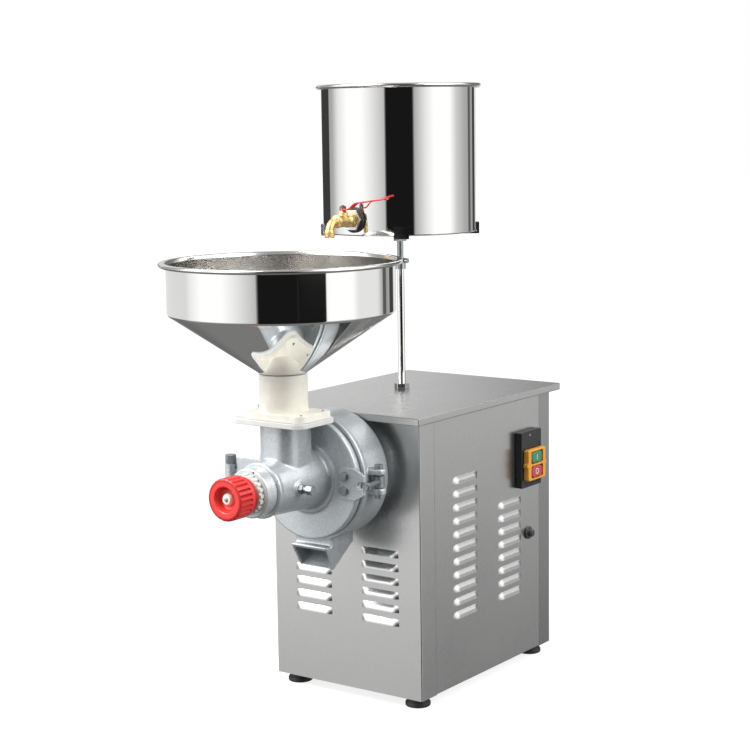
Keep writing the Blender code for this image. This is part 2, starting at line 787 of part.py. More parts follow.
def make_base_plate():
    low = (LEFT + SHEET + GAP, FRONT + SHEET + GAP, BASE)
    high = (RIGHT - SHEET - GAP, BACK - SHEET - GAP, BASE + BASE_THICKNESS)
    put("base_plate", box_mesh(low, high), STEEL_SATIN)


def make_lid():
    """A shallow tray upside down: a block with soft edges, hollowed from below."""
    low = Vector((LEFT - LID_SIDE_OVERHANG, FRONT - LID_FRONT_OVERHANG, LID_TOP - LID_LIP))
    high = Vector((RIGHT + LID_SIDE_OVERHANG, BACK + LID_BACK_OVERHANG, LID_TOP))
    lid = put("top_lid", box_mesh(low, high), STEEL_SATIN)
    soften(lid, FOLD_RADIUS)
    wall = Vector((SHEET, SHEET, SHEET))
    hollow = box_mesh(low + wall - Vector((0, 0, SHEET + OVERRUN)), high - wall)
    cut(lid, tool("lid_hollow", hollow))


def make_feet():
    number = 0
    for x in (LEFT + FOOT_INSET, RIGHT - FOOT_INSET):
        for y in (FRONT + FOOT_INSET, BACK - FOOT_INSET):
            number += 1
            mesh = rod_mesh(FOOT_RADIUS, FOOT_HEIGHT - GAP, 20, FOOT_TOP_RADIUS)
            put(f"foot_{number}", mesh, RUBBER, (x, y, 0))


# Side door

def make_door():
    low = (RIGHT - SHEET, DOOR_HINGE_Y + DOOR_PIN_RADIUS + GAP, BASE + BASE_THICKNESS)
    high = (RIGHT, DOOR_BACK - JOINT_GAP, DOOR_TOP)
    hinge = bpy.data.objects.new("door_axis", None)
    hinge.location = (DOOR_HINGE_X, DOOR_HINGE_Y, 0)
    PARTS.objects.link(hinge)
    offset = Vector(hinge.location)
    door = put("side_door", box_mesh(Vector(low) - offset, Vector(high) - offset), STEEL_SATIN)
    door.parent = hinge
    level = BASE + DOOR_LOUVRE_LOW
    width = high[1] - low[1]
    places = louvre_column(DOOR_FRONT_LOUVRE_SHARE * width, level, DOOR_FRONT_LOUVRE_ROWS)
    places += louvre_column(DOOR_BACK_LOUVRE_SHARE * width, level, DOOR_BACK_LOUVRE_ROWS)
    add_louvres(door, places, (RIGHT, low[1], 0), (0, 0, pi / 2))
    hole = rod_mesh(LOCK_BODY_RADIUS + GAP, SHEET + 2 * OVERRUN)
    place = (RIGHT - SHEET - OVERRUN, LOCK_Y, BASE + LOCK_HEIGHT)
    cut(door, tool("lock_hole", hole, place, RIGHTWARD))


def make_door_hinge():
    """Leaf behind the front fold, with a pin in the joint between fold and door."""
    bottom = BASE + BASE_THICKNESS + GAP
    leaf_face = RIGHT - SHEET - GAP
    leaf_back = leaf_face - DOOR_LEAF_THICKNESS
    low = (leaf_back, DOOR_HINGE_Y - DOOR_LEAF_WIDTH, bottom)
    high = (leaf_face, DOOR_HINGE_Y + DOOR_RISER_WIDTH / 2, DOOR_TOP)
    leaf = put("door_hinge", box_mesh(low, high), STEEL_PLAIN)
    low = (leaf_back + DOOR_LEAF_THICKNESS / 2, DOOR_HINGE_Y - DOOR_RISER_WIDTH / 2, bottom)
    high = (DOOR_HINGE_X, DOOR_HINGE_Y + DOOR_RISER_WIDTH / 2, DOOR_TOP)
    join(leaf, tool("hinge_riser", box_mesh(low, high)))
    pin = rod_mesh(DOOR_PIN_RADIUS, DOOR_TOP - bottom, 10)
    join(leaf, tool("hinge_wire", pin, (DOOR_HINGE_X, DOOR_HINGE_Y, bottom)))


def make_door_lock():
    """Round head outside, body through the door, cam behind the rear fold."""
    place = Vector((RIGHT + GAP, LOCK_Y, BASE + LOCK_HEIGHT))
    cam_face = SHEET + GAP + LOCK_CAM_CLEARANCE
    cam_back = cam_face + LOCK_CAM_THICKNESS
    profile = [(0, LOCK_HEAD_LENGTH), (LOCK_KNOB_RADIUS - LOCK_RIM, LOCK_HEAD_LENGTH),
               (LOCK_KNOB_RADIUS, LOCK_HEAD_LENGTH - LOCK_RIM),
               (LOCK_KNOB_RADIUS, LOCK_PLATE_THICKNESS),
               (LOCK_HEAD_RADIUS - LOCK_RIM, LOCK_PLATE_THICKNESS),
               (LOCK_HEAD_RADIUS, LOCK_PLATE_THICKNESS - LOCK_RIM), (LOCK_HEAD_RADIUS, 0),
               (LOCK_BODY_RADIUS, 0), (LOCK_BODY_RADIUS, -cam_back), (0, -cam_back)]
    lock = turned("door_lock", profile, BLACK, place, RIGHTWARD)
    reach = DOOR_BACK - place.y + LOCK_CAM_OVERLAP - LOCK_CAM_WIDTH / 2
    cam = stretched_rod_mesh(LOCK_CAM_WIDTH / 2, LOCK_CAM_THICKNESS, forth=reach)
    join(lock, tool("lock_cam", cam, place - Vector((cam_back, 0, 0)), RIGHTWARD))
    reach = LOCK_KNOB_RADIUS + OVERRUN
    slot = box_mesh((-reach, -LOCK_SLOT_WIDTH / 2, LOCK_HEAD_LENGTH - LOCK_SLOT_DEPTH),
                    (reach, LOCK_SLOT_WIDTH / 2, LOCK_HEAD_LENGTH + OVERRUN))
    cut(lock, tool("lock_slot", slot, place, RIGHTWARD))


# Switch

def make_switch():
    half = SWITCH_BOX_WIDTH / 2
    tall = SWITCH_BOX_HEIGHT / 2
    back = RIGHT + GAP
    case = put("switch_box", box_mesh((back, SWITCH_Y - half, SWITCH_Z - tall),
                                      (SWITCH_FACE, SWITCH_Y + half, SWITCH_Z + tall)), BLACK)
    soften(case, SWITCH_BEVEL)
    base = SWITCH_FACE + GAP
    face = base + GUARD_DEPTH
    half = GUARD_WIDTH / 2
    tall = GUARD_HEIGHT / 2
    guard = put("switch_guard", box_mesh((base, GUARD_Y - half, GUARD_Z - tall),
                                         (face, GUARD_Y + half, GUARD_Z + tall)), YELLOW)
    soften(guard, SWITCH_BEVEL)
    for number, z in enumerate(button_levels()):
        side = BUTTON_WIDTH / 2 + BUTTON_SLIDE_GAP
        rise = BUTTON_HEIGHT / 2 + BUTTON_SLIDE_GAP
        well = box_mesh((base - OVERRUN, GUARD_Y - side, z - rise),
                        (face + OVERRUN, GUARD_Y + side, z + rise))
        cut(guard, tool(f"button_well_{number}", well))
    for side in (-1, 1):
        middle = GUARD_Y + side * half
        nib = box_mesh((base, middle - GUARD_NIB_WIDTH / 2, GUARD_Z - GUARD_NIB_HEIGHT / 2),
                       (face - SWITCH_BEVEL, middle + GUARD_NIB_WIDTH / 2,
                        GUARD_Z + GUARD_NIB_HEIGHT / 2))
        join(guard, tool(f"guard_nib_{side + 1}", nib))
    for name, z, look in zip(("start_button", "stop_button"), button_levels(), (GREEN, RED)):
        low = (-BUTTON_PROUD, -BUTTON_WIDTH / 2, -BUTTON_HEIGHT / 2)
        high = (0, BUTTON_WIDTH / 2, BUTTON_HEIGHT / 2)
        tip = base + BUTTON_TRAVEL + BUTTON_PROUD + GAP
        button = put(name, box_mesh(low, high), look, (tip, GUARD_Y, z))
        soften(button, SWITCH_BEVEL)


def button_levels():
    step = (BUTTON_HEIGHT + BUTTON_BAR) / 2 + BUTTON_SLIDE_GAP
    return GUARD_Z + step, GUARD_Z - step


def make_cable_gland():
    profile = [(GLAND_RADIUS - GLAND_BORE_RADIUS / 2, GLAND_LENGTH), (GLAND_RADIUS, GLAND_LENGTH / 2),
               (GLAND_RADIUS, 0), (GLAND_BODY_RADIUS, 0), (GLAND_BODY_RADIUS, -GLAND_INSIDE),
               (GLAND_BORE_RADIUS, -GLAND_INSIDE), (GLAND_BORE_RADIUS, GLAND_LENGTH)]
    place = (CABINET_OFFSET + GLAND_OFFSET, BACK + GAP, BASE + GLAND_HEIGHT)
    turned("cable_gland", profile, BLACK, place, BACKWARD, 16, closed=True)


# Drive

def make_motor():
    """Motor lying along Y on two rails; local Z runs to the back."""
    length = MOTOR_LENGTH
    bell = MOTOR_BELL_LENGTH
    bore = MOTOR_SHAFT_RADIUS + GAP
    profile = [(0, length), (MOTOR_BELL_RADIUS, length), (MOTOR_RADIUS, length - bell),
               (MOTOR_RADIUS, bell), (MOTOR_BELL_RADIUS, 0), (bore, 0), (bore, MOTOR_BORE_DEPTH),
               (0, MOTOR_BORE_DEPTH)]
    motor = turned("motor", profile, ENAMEL, (0, MOTOR_FRONT, MOTOR_AXIS), BACKWARD)
    middle = MOTOR_FRONT + length / 2
    for side in (-1, 1):
        x = side * MOTOR_FOOT_SPREAD
        low = (x - MOTOR_FOOT_WIDTH / 2, middle - MOTOR_FOOT_LENGTH / 2, MOTOR_AXIS - MOTOR_AXIS_RISE)
        high = (x + MOTOR_FOOT_WIDTH / 2, middle + MOTOR_FOOT_LENGTH / 2,
                MOTOR_AXIS - MOTOR_RADIUS / 2)
        join(motor, tool(f"motor_foot_{side + 1}", box_mesh(low, high)))


def make_motor_shaft():
    start = PULLEY_FRONT - SPINDLE_END_CLEARANCE
    length = MOTOR_FRONT + MOTOR_BORE_DEPTH - GAP - start
    put("motor_shaft", rod_mesh(MOTOR_SHAFT_RADIUS, length), STEEL_PLAIN,
        (0, start, MOTOR_AXIS), BACKWARD)


def make_pulley(name, radius, bore, z):
    """A pulley with one belt groove; local Z runs to the back."""
    root = radius - PULLEY_GROOVE_DEPTH
    flare = (PULLEY_WIDTH - BELT_WIDTH) / 2 - PULLEY_LAND
    profile = [(radius, PULLEY_WIDTH), (radius, PULLEY_WIDTH - PULLEY_LAND),
               (root, PULLEY_WIDTH - PULLEY_LAND - flare), (root, PULLEY_LAND + flare),
               (radius, PULLEY_LAND), (radius, 0), (bore, 0), (bore, PULLEY_WIDTH)]
    turned(name, profile, IRON, (0, PULLEY_FRONT, z), BACKWARD, closed=True)


def make_belt():
    """A belt round both pulleys, seated in their grooves."""
    depth = PULLEY_GROOVE_DEPTH - GAP
    low_radius = MOTOR_PULLEY_RADIUS - depth
    high_radius = SPINDLE_PULLEY_RADIUS - depth
    outline = belt_outline(low_radius + BELT_THICKNESS, high_radius + BELT_THICKNESS)
    width = BELT_WIDTH - 2 * GAP
    middle = PULLEY_FRONT + PULLEY_WIDTH / 2
    belt = put("drive_belt", plate_mesh(outline, width), RUBBER, (0, middle, MOTOR_AXIS), FORWARD)
    inner = plate_mesh(belt_outline(low_radius, high_radius), width + 2 * OVERRUN)
    cut(belt, tool("belt_inside", inner, (0, middle, MOTOR_AXIS), FORWARD))


def belt_outline(low_radius, high_radius):
    """Two arcs and their outer tangents, with sides that lie outside both circles."""
    distance = SPINDLE - MOTOR_AXIS
    lean = (high_radius - low_radius) / distance
    steps = BELT_SIDES // 2
    start = Vector((sqrt(1 - lean * lean), -lean)).to_3d()
    turn = -Vector((1, 0, 0)).angle(start)
    outside = 1 / cos((pi - 2 * turn) / steps / 2)
    upper = arc((0, distance), high_radius * outside, turn, pi - turn, steps)
    lower = arc((0, 0), low_radius * outside, pi - turn, 2 * pi + turn, steps)
    return upper + lower


def make_bearing_block():
    """Flanged bearing behind the front panel; local Z runs to the back."""
    bore = SPINDLE_RADIUS + GAP
    profile = [(BEARING_RADIUS, BEARING_LENGTH), (BEARING_RADIUS, BEARING_FLANGE_THICKNESS),
               (BEARING_FLANGE_RADIUS, BEARING_FLANGE_THICKNESS), (BEARING_FLANGE_RADIUS, 0),
               (bore, 0), (bore, BEARING_LENGTH)]
    turned("bearing_block", profile, CAST_PAINT, (0, FRONT + SHEET + GAP, SPINDLE), BACKWARD,
           closed=True)


def make_spindle():
    """Shaft with a flange behind the turning stone; local Z runs to the front."""
    flange_face = ROTOR_BACK - GAP
    flange_back = flange_face - SPINDLE_FLANGE_THICKNESS
    back = -(PULLEY_SETBACK + PULLEY_WIDTH + SPINDLE_END_CLEARANCE)
    profile = [(0, ROTOR_FACE), (SPINDLE_RADIUS, ROTOR_FACE), (SPINDLE_RADIUS, flange_face),
               (SPINDLE_FLANGE_RADIUS, flange_face), (SPINDLE_FLANGE_RADIUS, flange_back),
               (SPINDLE_RADIUS, flange_back), (SPINDLE_RADIUS, back), (0, back)]
    turned("spindle", profile, STEEL_PLAIN, (0, FRONT, SPINDLE), FORWARD)


# Grinding chamber

def make_rear_housing():
    """Drum on a neck, open to the front; local Z is the distance ahead of the panel."""
    profile = [(RIM_RADIUS, RIM_AHEAD), (RIM_RADIUS, RIM_AHEAD - RIM_LENGTH),
               (DRUM_RADIUS, RIM_AHEAD - RIM_LENGTH), (DRUM_RADIUS, NECK_LENGTH + DRUM_EDGE),
               (DRUM_RADIUS - DRUM_EDGE, NECK_LENGTH), (NECK_RADIUS, NECK_LENGTH),
               (NECK_RADIUS, GAP), (HOUSING_BORE_RADIUS, GAP),
               (HOUSING_BORE_RADIUS, CHAMBER_AHEAD), (CHAMBER_RADIUS, CHAMBER_AHEAD),
               (CHAMBER_RADIUS, RIM_AHEAD)]
    housing = turned("rear_housing", profile, CAST_PAINT, (0, FRONT, SPINDLE), FORWARD,
                     SIDES_LARGE, closed=True)
    add_chute(housing)
    add_ears(housing)


def ramp_reach(z):
    """How far ahead the chute's sloping back lies at a height."""
    top = SPINDLE - CHUTE_TOP_DROP
    fall = CHUTE_LIP_DROP - CHUTE_TOP_DROP
    run = CHUTE_LIP_REACH - CHUTE_LIP_DEPTH - CHUTE_BACK
    return CHUTE_BACK + (top - z) / fall * run


def add_chute(housing):
    top = SPINDLE - CHUTE_TOP_DROP
    lip = SPINDLE - CHUTE_LIP_DROP
    half = CHUTE_TOP_WIDTH / 2
    narrow = CHUTE_LIP_WIDTH / 2
    body = wedge_mesh((-half, half, FRONT - CHUTE_REACH, FRONT - CHUTE_BACK, top),
                      (-narrow, narrow, FRONT - CHUTE_LIP_REACH,
                       FRONT - CHUTE_LIP_REACH + CHUTE_LIP_DEPTH, lip))
    join(housing, tool("chute_body", body))
    wall_top = SPINDLE - sqrt(DRUM_RADIUS ** 2 - half ** 2) + CHUTE_WALL
    root = box_mesh((-half + BURY, FRONT - RIM_AHEAD + BURY, top - CHUTE_WALL),
                    (half - BURY, FRONT - CHUTE_BACK - BURY, wall_top))
    join(housing, tool("chute_root", root))
    ceiling = top - CHUTE_TOP_BAR
    floor = lip + CHUTE_LIP_WALL
    slope = sqrt(2) * CHUTE_WALL
    inner = half - CHUTE_WALL
    low_inner = narrow - CHUTE_WALL
    ahead = FRONT - CHUTE_REACH - OVERRUN
    hollow = wedge_mesh((-inner, inner, ahead, FRONT - ramp_reach(ceiling) - slope, ceiling),
                        (-low_inner, low_inner, ahead, FRONT - ramp_reach(floor) - slope, floor))
    cut(housing, tool("chute_hollow", hollow))
    side = DROP_SLOT_WIDTH / 2
    start = FRONT - DROP_SLOT_BACK
    chamber_low = SPINDLE - sqrt(CHAMBER_RADIUS ** 2 - side ** 2)
    slot = box_mesh((-side, start - DROP_SLOT_LENGTH, ceiling - BURY),
                    (side, start, chamber_low + OVERRUN))
    cut(housing, tool("drop_slot", slot))


def add_ears(housing):
    reach = LATCH_X - (CHAMBER_RADIUS + DRUM_RADIUS) / 2
    for side in (-1, 1):
        middle = side * (EAR_GAP + EAR_THICKNESS) / 2
        z = SPINDLE + middle - EAR_THICKNESS / 2
        ear = stretched_rod_mesh(EAR_RADIUS, EAR_THICKNESS, back=reach)
        join(housing, tool(f"latch_ear_{side + 1}", ear, (LATCH_X, LATCH_Y, z)))
    tall = EAR_GAP + 2 * EAR_THICKNESS + 2 * OVERRUN
    hole = rod_mesh(LATCH_PIN_RADIUS + GAP, tall)
    cut(housing, tool("latch_hole", hole, (LATCH_X, LATCH_Y, SPINDLE - tall / 2)))


def stone_profile(thickness, bore):
    edge = STONE_BEVEL
    return [(STONE_RADIUS - edge, thickness), (STONE_RADIUS, thickness - edge),
            (STONE_RADIUS, edge), (STONE_RADIUS - edge, 0), (bore, 0), (bore, thickness)]


def make_stones():
    place = (0, FRONT - ROTOR_BACK, SPINDLE)
    turned("rotor_stone", stone_profile(ROTOR_THICKNESS, SPINDLE_RADIUS + GAP), STONE, place,
           FORWARD, SIDES_LARGE, closed=True)
    place = (0, FRONT - STATOR_BACK, SPINDLE)
    turned("stator_stone", stone_profile(STATOR_THICKNESS, STATOR_EYE_RADIUS), STONE, place,
           FORWARD, SIDES_LARGE, closed=True)


def make_feed_screw():
    """A core with one wound flight; local Z runs to the front."""
    length = SCREW_TIP - SCREW_BACK
    core = put("feed_screw", rod_mesh(SCREW_CORE_RADIUS, length), STEEL_PLAIN,
               (0, FRONT - SCREW_BACK, SPINDLE), FORWARD)
    run = length - 2 * SCREW_END_LAND - SCREW_FLIGHT_THICKNESS
    turns = run / SCREW_PITCH

    def flight(shape):
        inner = SCREW_CORE_RADIUS - BURY
        low = SCREW_END_LAND
        high = low + SCREW_FLIGHT_THICKNESS
        ring = [(inner, 0, low), (SCREW_RADIUS, 0, low), (SCREW_RADIUS, 0, high), (inner, 0, high)]
        corners = [shape.verts.new(point) for point in ring]
        edges = [shape.edges.new((corners[index - 1], corners[index])) for index in range(4)]
        steps = int(SCREW_STEPS_PER_TURN * turns)
        bmesh.ops.spin(shape, geom=edges, cent=(0, 0, 0), axis=(0, 0, 1), angle=2 * pi * turns,
                       steps=steps, dvec=(0, 0, run / steps))
        bmesh.ops.remove_doubles(shape, verts=shape.verts, dist=MERGE)
        ends = [edge for edge in shape.edges if edge.is_boundary]
        bmesh.ops.holes_fill(shape, edges=ends, sides=4)
        bmesh.ops.recalc_face_normals(shape, faces=shape.faces)
    join(core, tool("screw_flight", mesh_from(flight, "flight"),
                    (0, FRONT - SCREW_BACK, SPINDLE), FORWARD))


def make_gasket():
    outer = COVER_RADIUS - COVER_EDGE
    profile = [(outer, GASKET_THICKNESS), (outer, 0), (outer - GASKET_WIDTH, 0),
               (outer - GASKET_WIDTH, GASKET_THICKNESS)]
    turned("chamber_gasket", profile, RUBBER, (0, FRONT - RIM_AHEAD - GAP, SPINDLE), FORWARD,
           SIDES_LARGE, closed=True)


def make_front_cover():
    """Round cover, conical boss, feed duct and oblong flange in one casting."""
    cover_axis = bpy.data.objects.new("cover_axis", None)
    cover_axis.location = (HINGE_X, HINGE_Y, SPINDLE)
    PARTS.objects.link(cover_axis)
    ring_back = BOSS_FACE - BOSS_RING_LENGTH
    foot = COVER_FACE + BOSS_FOOT_RISE
    profile = [(0, BOSS_FACE), (BOSS_RING_RADIUS - BOSS_RING_STEP, BOSS_FACE),
               (BOSS_RING_RADIUS, BOSS_FACE - BOSS_RING_STEP), (BOSS_RING_RADIUS, ring_back),
               (BOSS_TIP_RADIUS - BOSS_RING_STEP, ring_back - BOSS_RING_STEP),
               (BOSS_TIP_RADIUS, ring_back - 2 * BOSS_RING_STEP),
               (BOSS_ROOT_RADIUS, foot + BOSS_FILLET),
               (BOSS_ROOT_RADIUS + BOSS_FILLET / 3, foot + BOSS_FILLET / 3),
               (BOSS_FOOT_RADIUS, foot), (BOSS_FOOT_RADIUS + BOSS_FOOT_RISE, COVER_FACE),
               (COVER_RADIUS - COVER_EDGE, COVER_FACE), (COVER_RADIUS, COVER_FACE - COVER_EDGE),
               (COVER_RADIUS, COVER_AHEAD), (0, COVER_AHEAD)]
    shift = (-HINGE_X, FRONT - HINGE_Y, 0)
    cover = turned("front_cover", profile, CAST_PAINT, shift, FORWARD, SIDES_LARGE)
    cover.parent = cover_axis
    join(cover, rounded_block("feed_duct", DUCT_WIDTH, DUCT_DEPTH, DUCT_CORNER,
                              (0, DUCT_Y + DUCT_SETBACK, SPINDLE + DUCT_SINK), DUCT_TOP + BURY))
    join(cover, rounded_block("cast_flange", CAST_FLANGE_LENGTH, CAST_FLANGE_WIDTH,
                              FLANGE_CORNER, (CAST_FLANGE_SHIFT, DUCT_Y, DUCT_TOP),
                              CAST_FLANGE_TOP))
    pad = rod_mesh(LOCK_PAD_RADIUS, lock_pad_face() - BOSS_BORE_RADIUS)
    join(cover, tool("lock_pad", pad, (BOSS_BORE_RADIUS, FRONT - LOCK_BOLT_AHEAD, SPINDLE),
                     RIGHTWARD))
    inner_end = BOSS_FACE - BOSS_END_WALL
    bore = THRUST_PIN_RADIUS + GAP
    drill = [(0, BOSS_FACE + OVERRUN), (bore, BOSS_FACE + OVERRUN), (bore, inner_end),
             (BOSS_BORE_RADIUS, inner_end), (BOSS_BORE_RADIUS, COVER_AHEAD - OVERRUN),
             (0, COVER_AHEAD - OVERRUN)]
    cut(cover, turned_tool("boss_bore", drill, (0, FRONT, SPINDLE), FORWARD))
    passage = rod_mesh(DUCT_BORE_RADIUS, DUCT_RISE + CAST_FLANGE_THICKNESS + OVERRUN, SIDES_MEDIUM)
    cut(cover, tool("feed_passage", passage, (0, DUCT_Y, SPINDLE)))
    hole = rod_mesh(LOCK_BOLT_RADIUS + GAP, LOCK_BOLT_DEPTH + OVERRUN)
    cut(cover, tool("lock_bolt_hole", hole, (lock_pad_face() - LOCK_BOLT_DEPTH,
                                             FRONT - LOCK_BOLT_AHEAD, SPINDLE), RIGHTWARD))
    for name, x, z in face_bolt_places():
        hole = rod_mesh(BOLT_SHANK_RADIUS + GAP, BOLT_SHANK_LENGTH + OVERRUN)
        place = (x, FRONT - COVER_FACE + BOLT_SHANK_LENGTH, z)
        cut(cover, tool(name + "_hole", hole, place, FORWARD))


def rounded_block(name, width, depth, corner, place, top):
    """An upright block with rounded corners, from its place up to a level."""
    x, y, z = place
    low = (x - width / 2, y - depth / 2, z)
    block = tool(name, box_mesh(low, (x + width / 2, y + depth / 2, top)))
    round_upright_edges(block, corner)
    return block


def round_upright_edges(piece, width):
    """Round the edges along Z only."""
    mesh = piece.data
    weight = mesh.attributes.new("bevel_weight_edge", "FLOAT", "EDGE")
    for edge in mesh.edges:
        first, second = (mesh.vertices[index].co for index in edge.vertices)
        upright = abs(first.z - second.z) > abs(first.x - second.x) + abs(first.y - second.y)
        weight.data[edge.index].value = 1.0 if upright else 0.0
    edges = piece.modifiers.new("round corners", "BEVEL")
    edges.limit_method = "WEIGHT"
    edges.width = width
    edges.segments = 5


def lock_pad_face():
    """How far out the flat for the side lock bolt stands from the spindle's axis."""
    return BOSS_ROOT_RADIUS - BOSS_RING_STEP


def face_bolt_places():
    """The hexagon bolts on the cover's face, with their x and z."""
    rise = CLAMP_BOLT_SPACING / 2
    places = [("clamp_bolt_1", CLAMP_BOLT_OFFSET, SPINDLE + rise),
              ("clamp_bolt_2", CLAMP_BOLT_OFFSET, SPINDLE - rise)]
    for number, offset in enumerate(HINGE_BOLT_OFFSETS, 1):
        places.append((f"hinge_bolt_{number}", -offset, SPINDLE + HINGE_BOLT_RISE))
    return places


def make_face_bolts():
    plates = {"clamp": CLAMP_PLATE_THICKNESS, "hinge": HINGE_LEAF_THICKNESS}
    for name, x, z in face_bolt_places():
        plate = plates[name.split("_")[0]]
        shank = plate + BOLT_SHANK_LENGTH
        place = (x, FRONT - COVER_FACE - GAP - plate - GAP, z)
        bolt = put(name, hexagon_mesh(BOLT_FLATS, BOLT_HEAD_HEIGHT), STEEL_PLAIN, place, FORWARD)
        stem = rod_mesh(BOLT_SHANK_RADIUS, shank + BURY)
        place = (x, place[1] + shank, z)
        join(bolt, tool(name + "_stem", stem, place, FORWARD))


# Hinge and latch of the cover

def make_hinge_leaf():
    """Flat leaf on the cover's face with a knuckle round the hinge pin."""
    bottom = SPINDLE - HINGE_LEAF_HEIGHT
    y_back = FRONT - COVER_FACE - GAP
    low = (HINGE_X, y_back - HINGE_LEAF_THICKNESS, bottom)
    high = (-HINGE_LEAF_END, y_back, SPINDLE)
    leaf = put("hinge_leaf", box_mesh(low, high), CAST_PAINT)
    low = (HINGE_X + HINGE_KNUCKLE_RADIUS + HINGE_LEAF_CLEARANCE, low[1], bottom + BURY)
    high = (high[0], y_back, SPINDLE + HINGE_LEAF_RISE)
    join(leaf, tool("leaf_plate", box_mesh(low, high)))
    knuckle = rod_mesh(HINGE_KNUCKLE_RADIUS, HINGE_LEAF_HEIGHT, SIDES_MEDIUM)
    join(leaf, tool("leaf_knuckle", knuckle, (HINGE_X, HINGE_Y, bottom)))
    hole = rod_mesh(HINGE_PIN_RADIUS + GAP, HINGE_LEAF_HEIGHT + 2 * OVERRUN)
    cut(leaf, tool("leaf_hole", hole, (HINGE_X, HINGE_Y, bottom - OVERRUN)))
    for number, offset in enumerate(HINGE_BOLT_OFFSETS):
        hole = rod_mesh(BOLT_SHANK_RADIUS + GAP, HINGE_LEAF_THICKNESS + 2 * OVERRUN)
        place = (-offset, y_back + OVERRUN, SPINDLE + HINGE_BOLT_RISE)
        cut(leaf, tool(f"leaf_bolt_hole_{number}", hole, place, FORWARD))


def make_hinge_bracket():
    """Arm from the drum's side, with a knuckle above and one below the leaf."""
    above = SPINDLE + GAP
    below = SPINDLE - HINGE_LEAF_HEIGHT - GAP - HINGE_KNUCKLE_HEIGHT
    top = above + HINGE_KNUCKLE_HEIGHT
    arm_x = -(COVER_RADIUS + RIM_RADIUS) / 2 - HINGE_BRACKET_THICKNESS
    arm_y = FRONT - RIM_AHEAD + RIM_LENGTH + HINGE_BRACKET_THICKNESS / 2
    low = (HINGE_X - HINGE_KNUCKLE_RADIUS, HINGE_Y + HINGE_KNUCKLE_RADIUS + GAP, below)
    high = (HINGE_X + HINGE_KNUCKLE_RADIUS, arm_y + HINGE_BRACKET_THICKNESS, top)
    bracket = put("hinge_bracket", box_mesh(low, high), CAST_PAINT)
    low = (HINGE_X, arm_y, below)
    high = (arm_x + HINGE_BRACKET_THICKNESS, arm_y + HINGE_BRACKET_THICKNESS, top)
    join(bracket, tool("bracket_arm", box_mesh(low, high)))
    shell = rod_mesh(DRUM_RADIUS + GAP, DRUM_LENGTH + 2 * OVERRUN, SIDES_LARGE)
    cut(bracket, tool("bracket_seat", shell, (0, FRONT - NECK_LENGTH + OVERRUN, SPINDLE), FORWARD))
    hole = rod_mesh(HINGE_PIN_RADIUS + GAP, top - below + 2 * OVERRUN)
    for name, z in (("upper", above), ("lower", below)):
        knuckle = stretched_rod_mesh(HINGE_KNUCKLE_RADIUS, HINGE_KNUCKLE_HEIGHT,
                                     back=HINGE_KNUCKLE_RADIUS + 2 * GAP + BURY)
        join(bracket, tool(f"{name}_knuckle", knuckle, (HINGE_X, HINGE_Y, z), (0, 0, -pi / 2)))
    cut(bracket, tool("bracket_hole", hole, (HINGE_X, HINGE_Y, below - OVERRUN)))


def make_hinge_pin():
    """Hexagon-headed bolt that drops through the hinge."""
    seat = SPINDLE + GAP + HINGE_KNUCKLE_HEIGHT + GAP
    foot = SPINDLE - HINGE_LEAF_HEIGHT - GAP - HINGE_KNUCKLE_HEIGHT
    pin = put("hinge_pin", hexagon_mesh(HINGE_HEAD_FLATS, HINGE_HEAD_HEIGHT), STEEL_PLAIN,
              (HINGE_X, HINGE_Y, seat))
    stem = rod_mesh(HINGE_PIN_RADIUS, seat - foot + BURY)
    join(pin, tool("hinge_pin_stem", stem, (HINGE_X, HINGE_Y, foot)))


def make_clamp_plate():
    """Plate on the cover's face whose open fork takes the swing bolt."""
    tall = CLAMP_PLATE_HEIGHT / 2
    short = CLAMP_PLATE_TIP_HEIGHT / 2
    slot = CLAMP_SLOT / 2
    end = LATCH_X + CLAMP_PRONG
    root = LATCH_X - slot
    throat = arc((root, 0), slot, pi / 2, 3 * pi / 2, 6)
    corner = CLAMP_PLATE_SHOULDER
    outline = [(CLAMP_PLATE_START, -tall), (corner, -tall), (end, -short), (end, -slot)]
    outline += [(x, z) for x, z in reversed(throat)]
    outline += [(end, slot), (end, short), (corner, tall), (CLAMP_PLATE_START, tall)]
    y = FRONT - COVER_FACE - GAP - CLAMP_PLATE_THICKNESS / 2
    plate = put("clamp_plate", plate_mesh(outline, CLAMP_PLATE_THICKNESS), CAST_PAINT,
                (0, y, SPINDLE), FORWARD)
    for number, side in enumerate((-1, 1)):
        hole = rod_mesh(BOLT_SHANK_RADIUS + GAP, CLAMP_PLATE_THICKNESS + 2 * OVERRUN)
        place = (CLAMP_BOLT_OFFSET, y + CLAMP_PLATE_THICKNESS / 2 + OVERRUN,
                 SPINDLE + side * CLAMP_BOLT_SPACING / 2)
        cut(plate, tool(f"clamp_hole_{number}", hole, place, FORWARD))


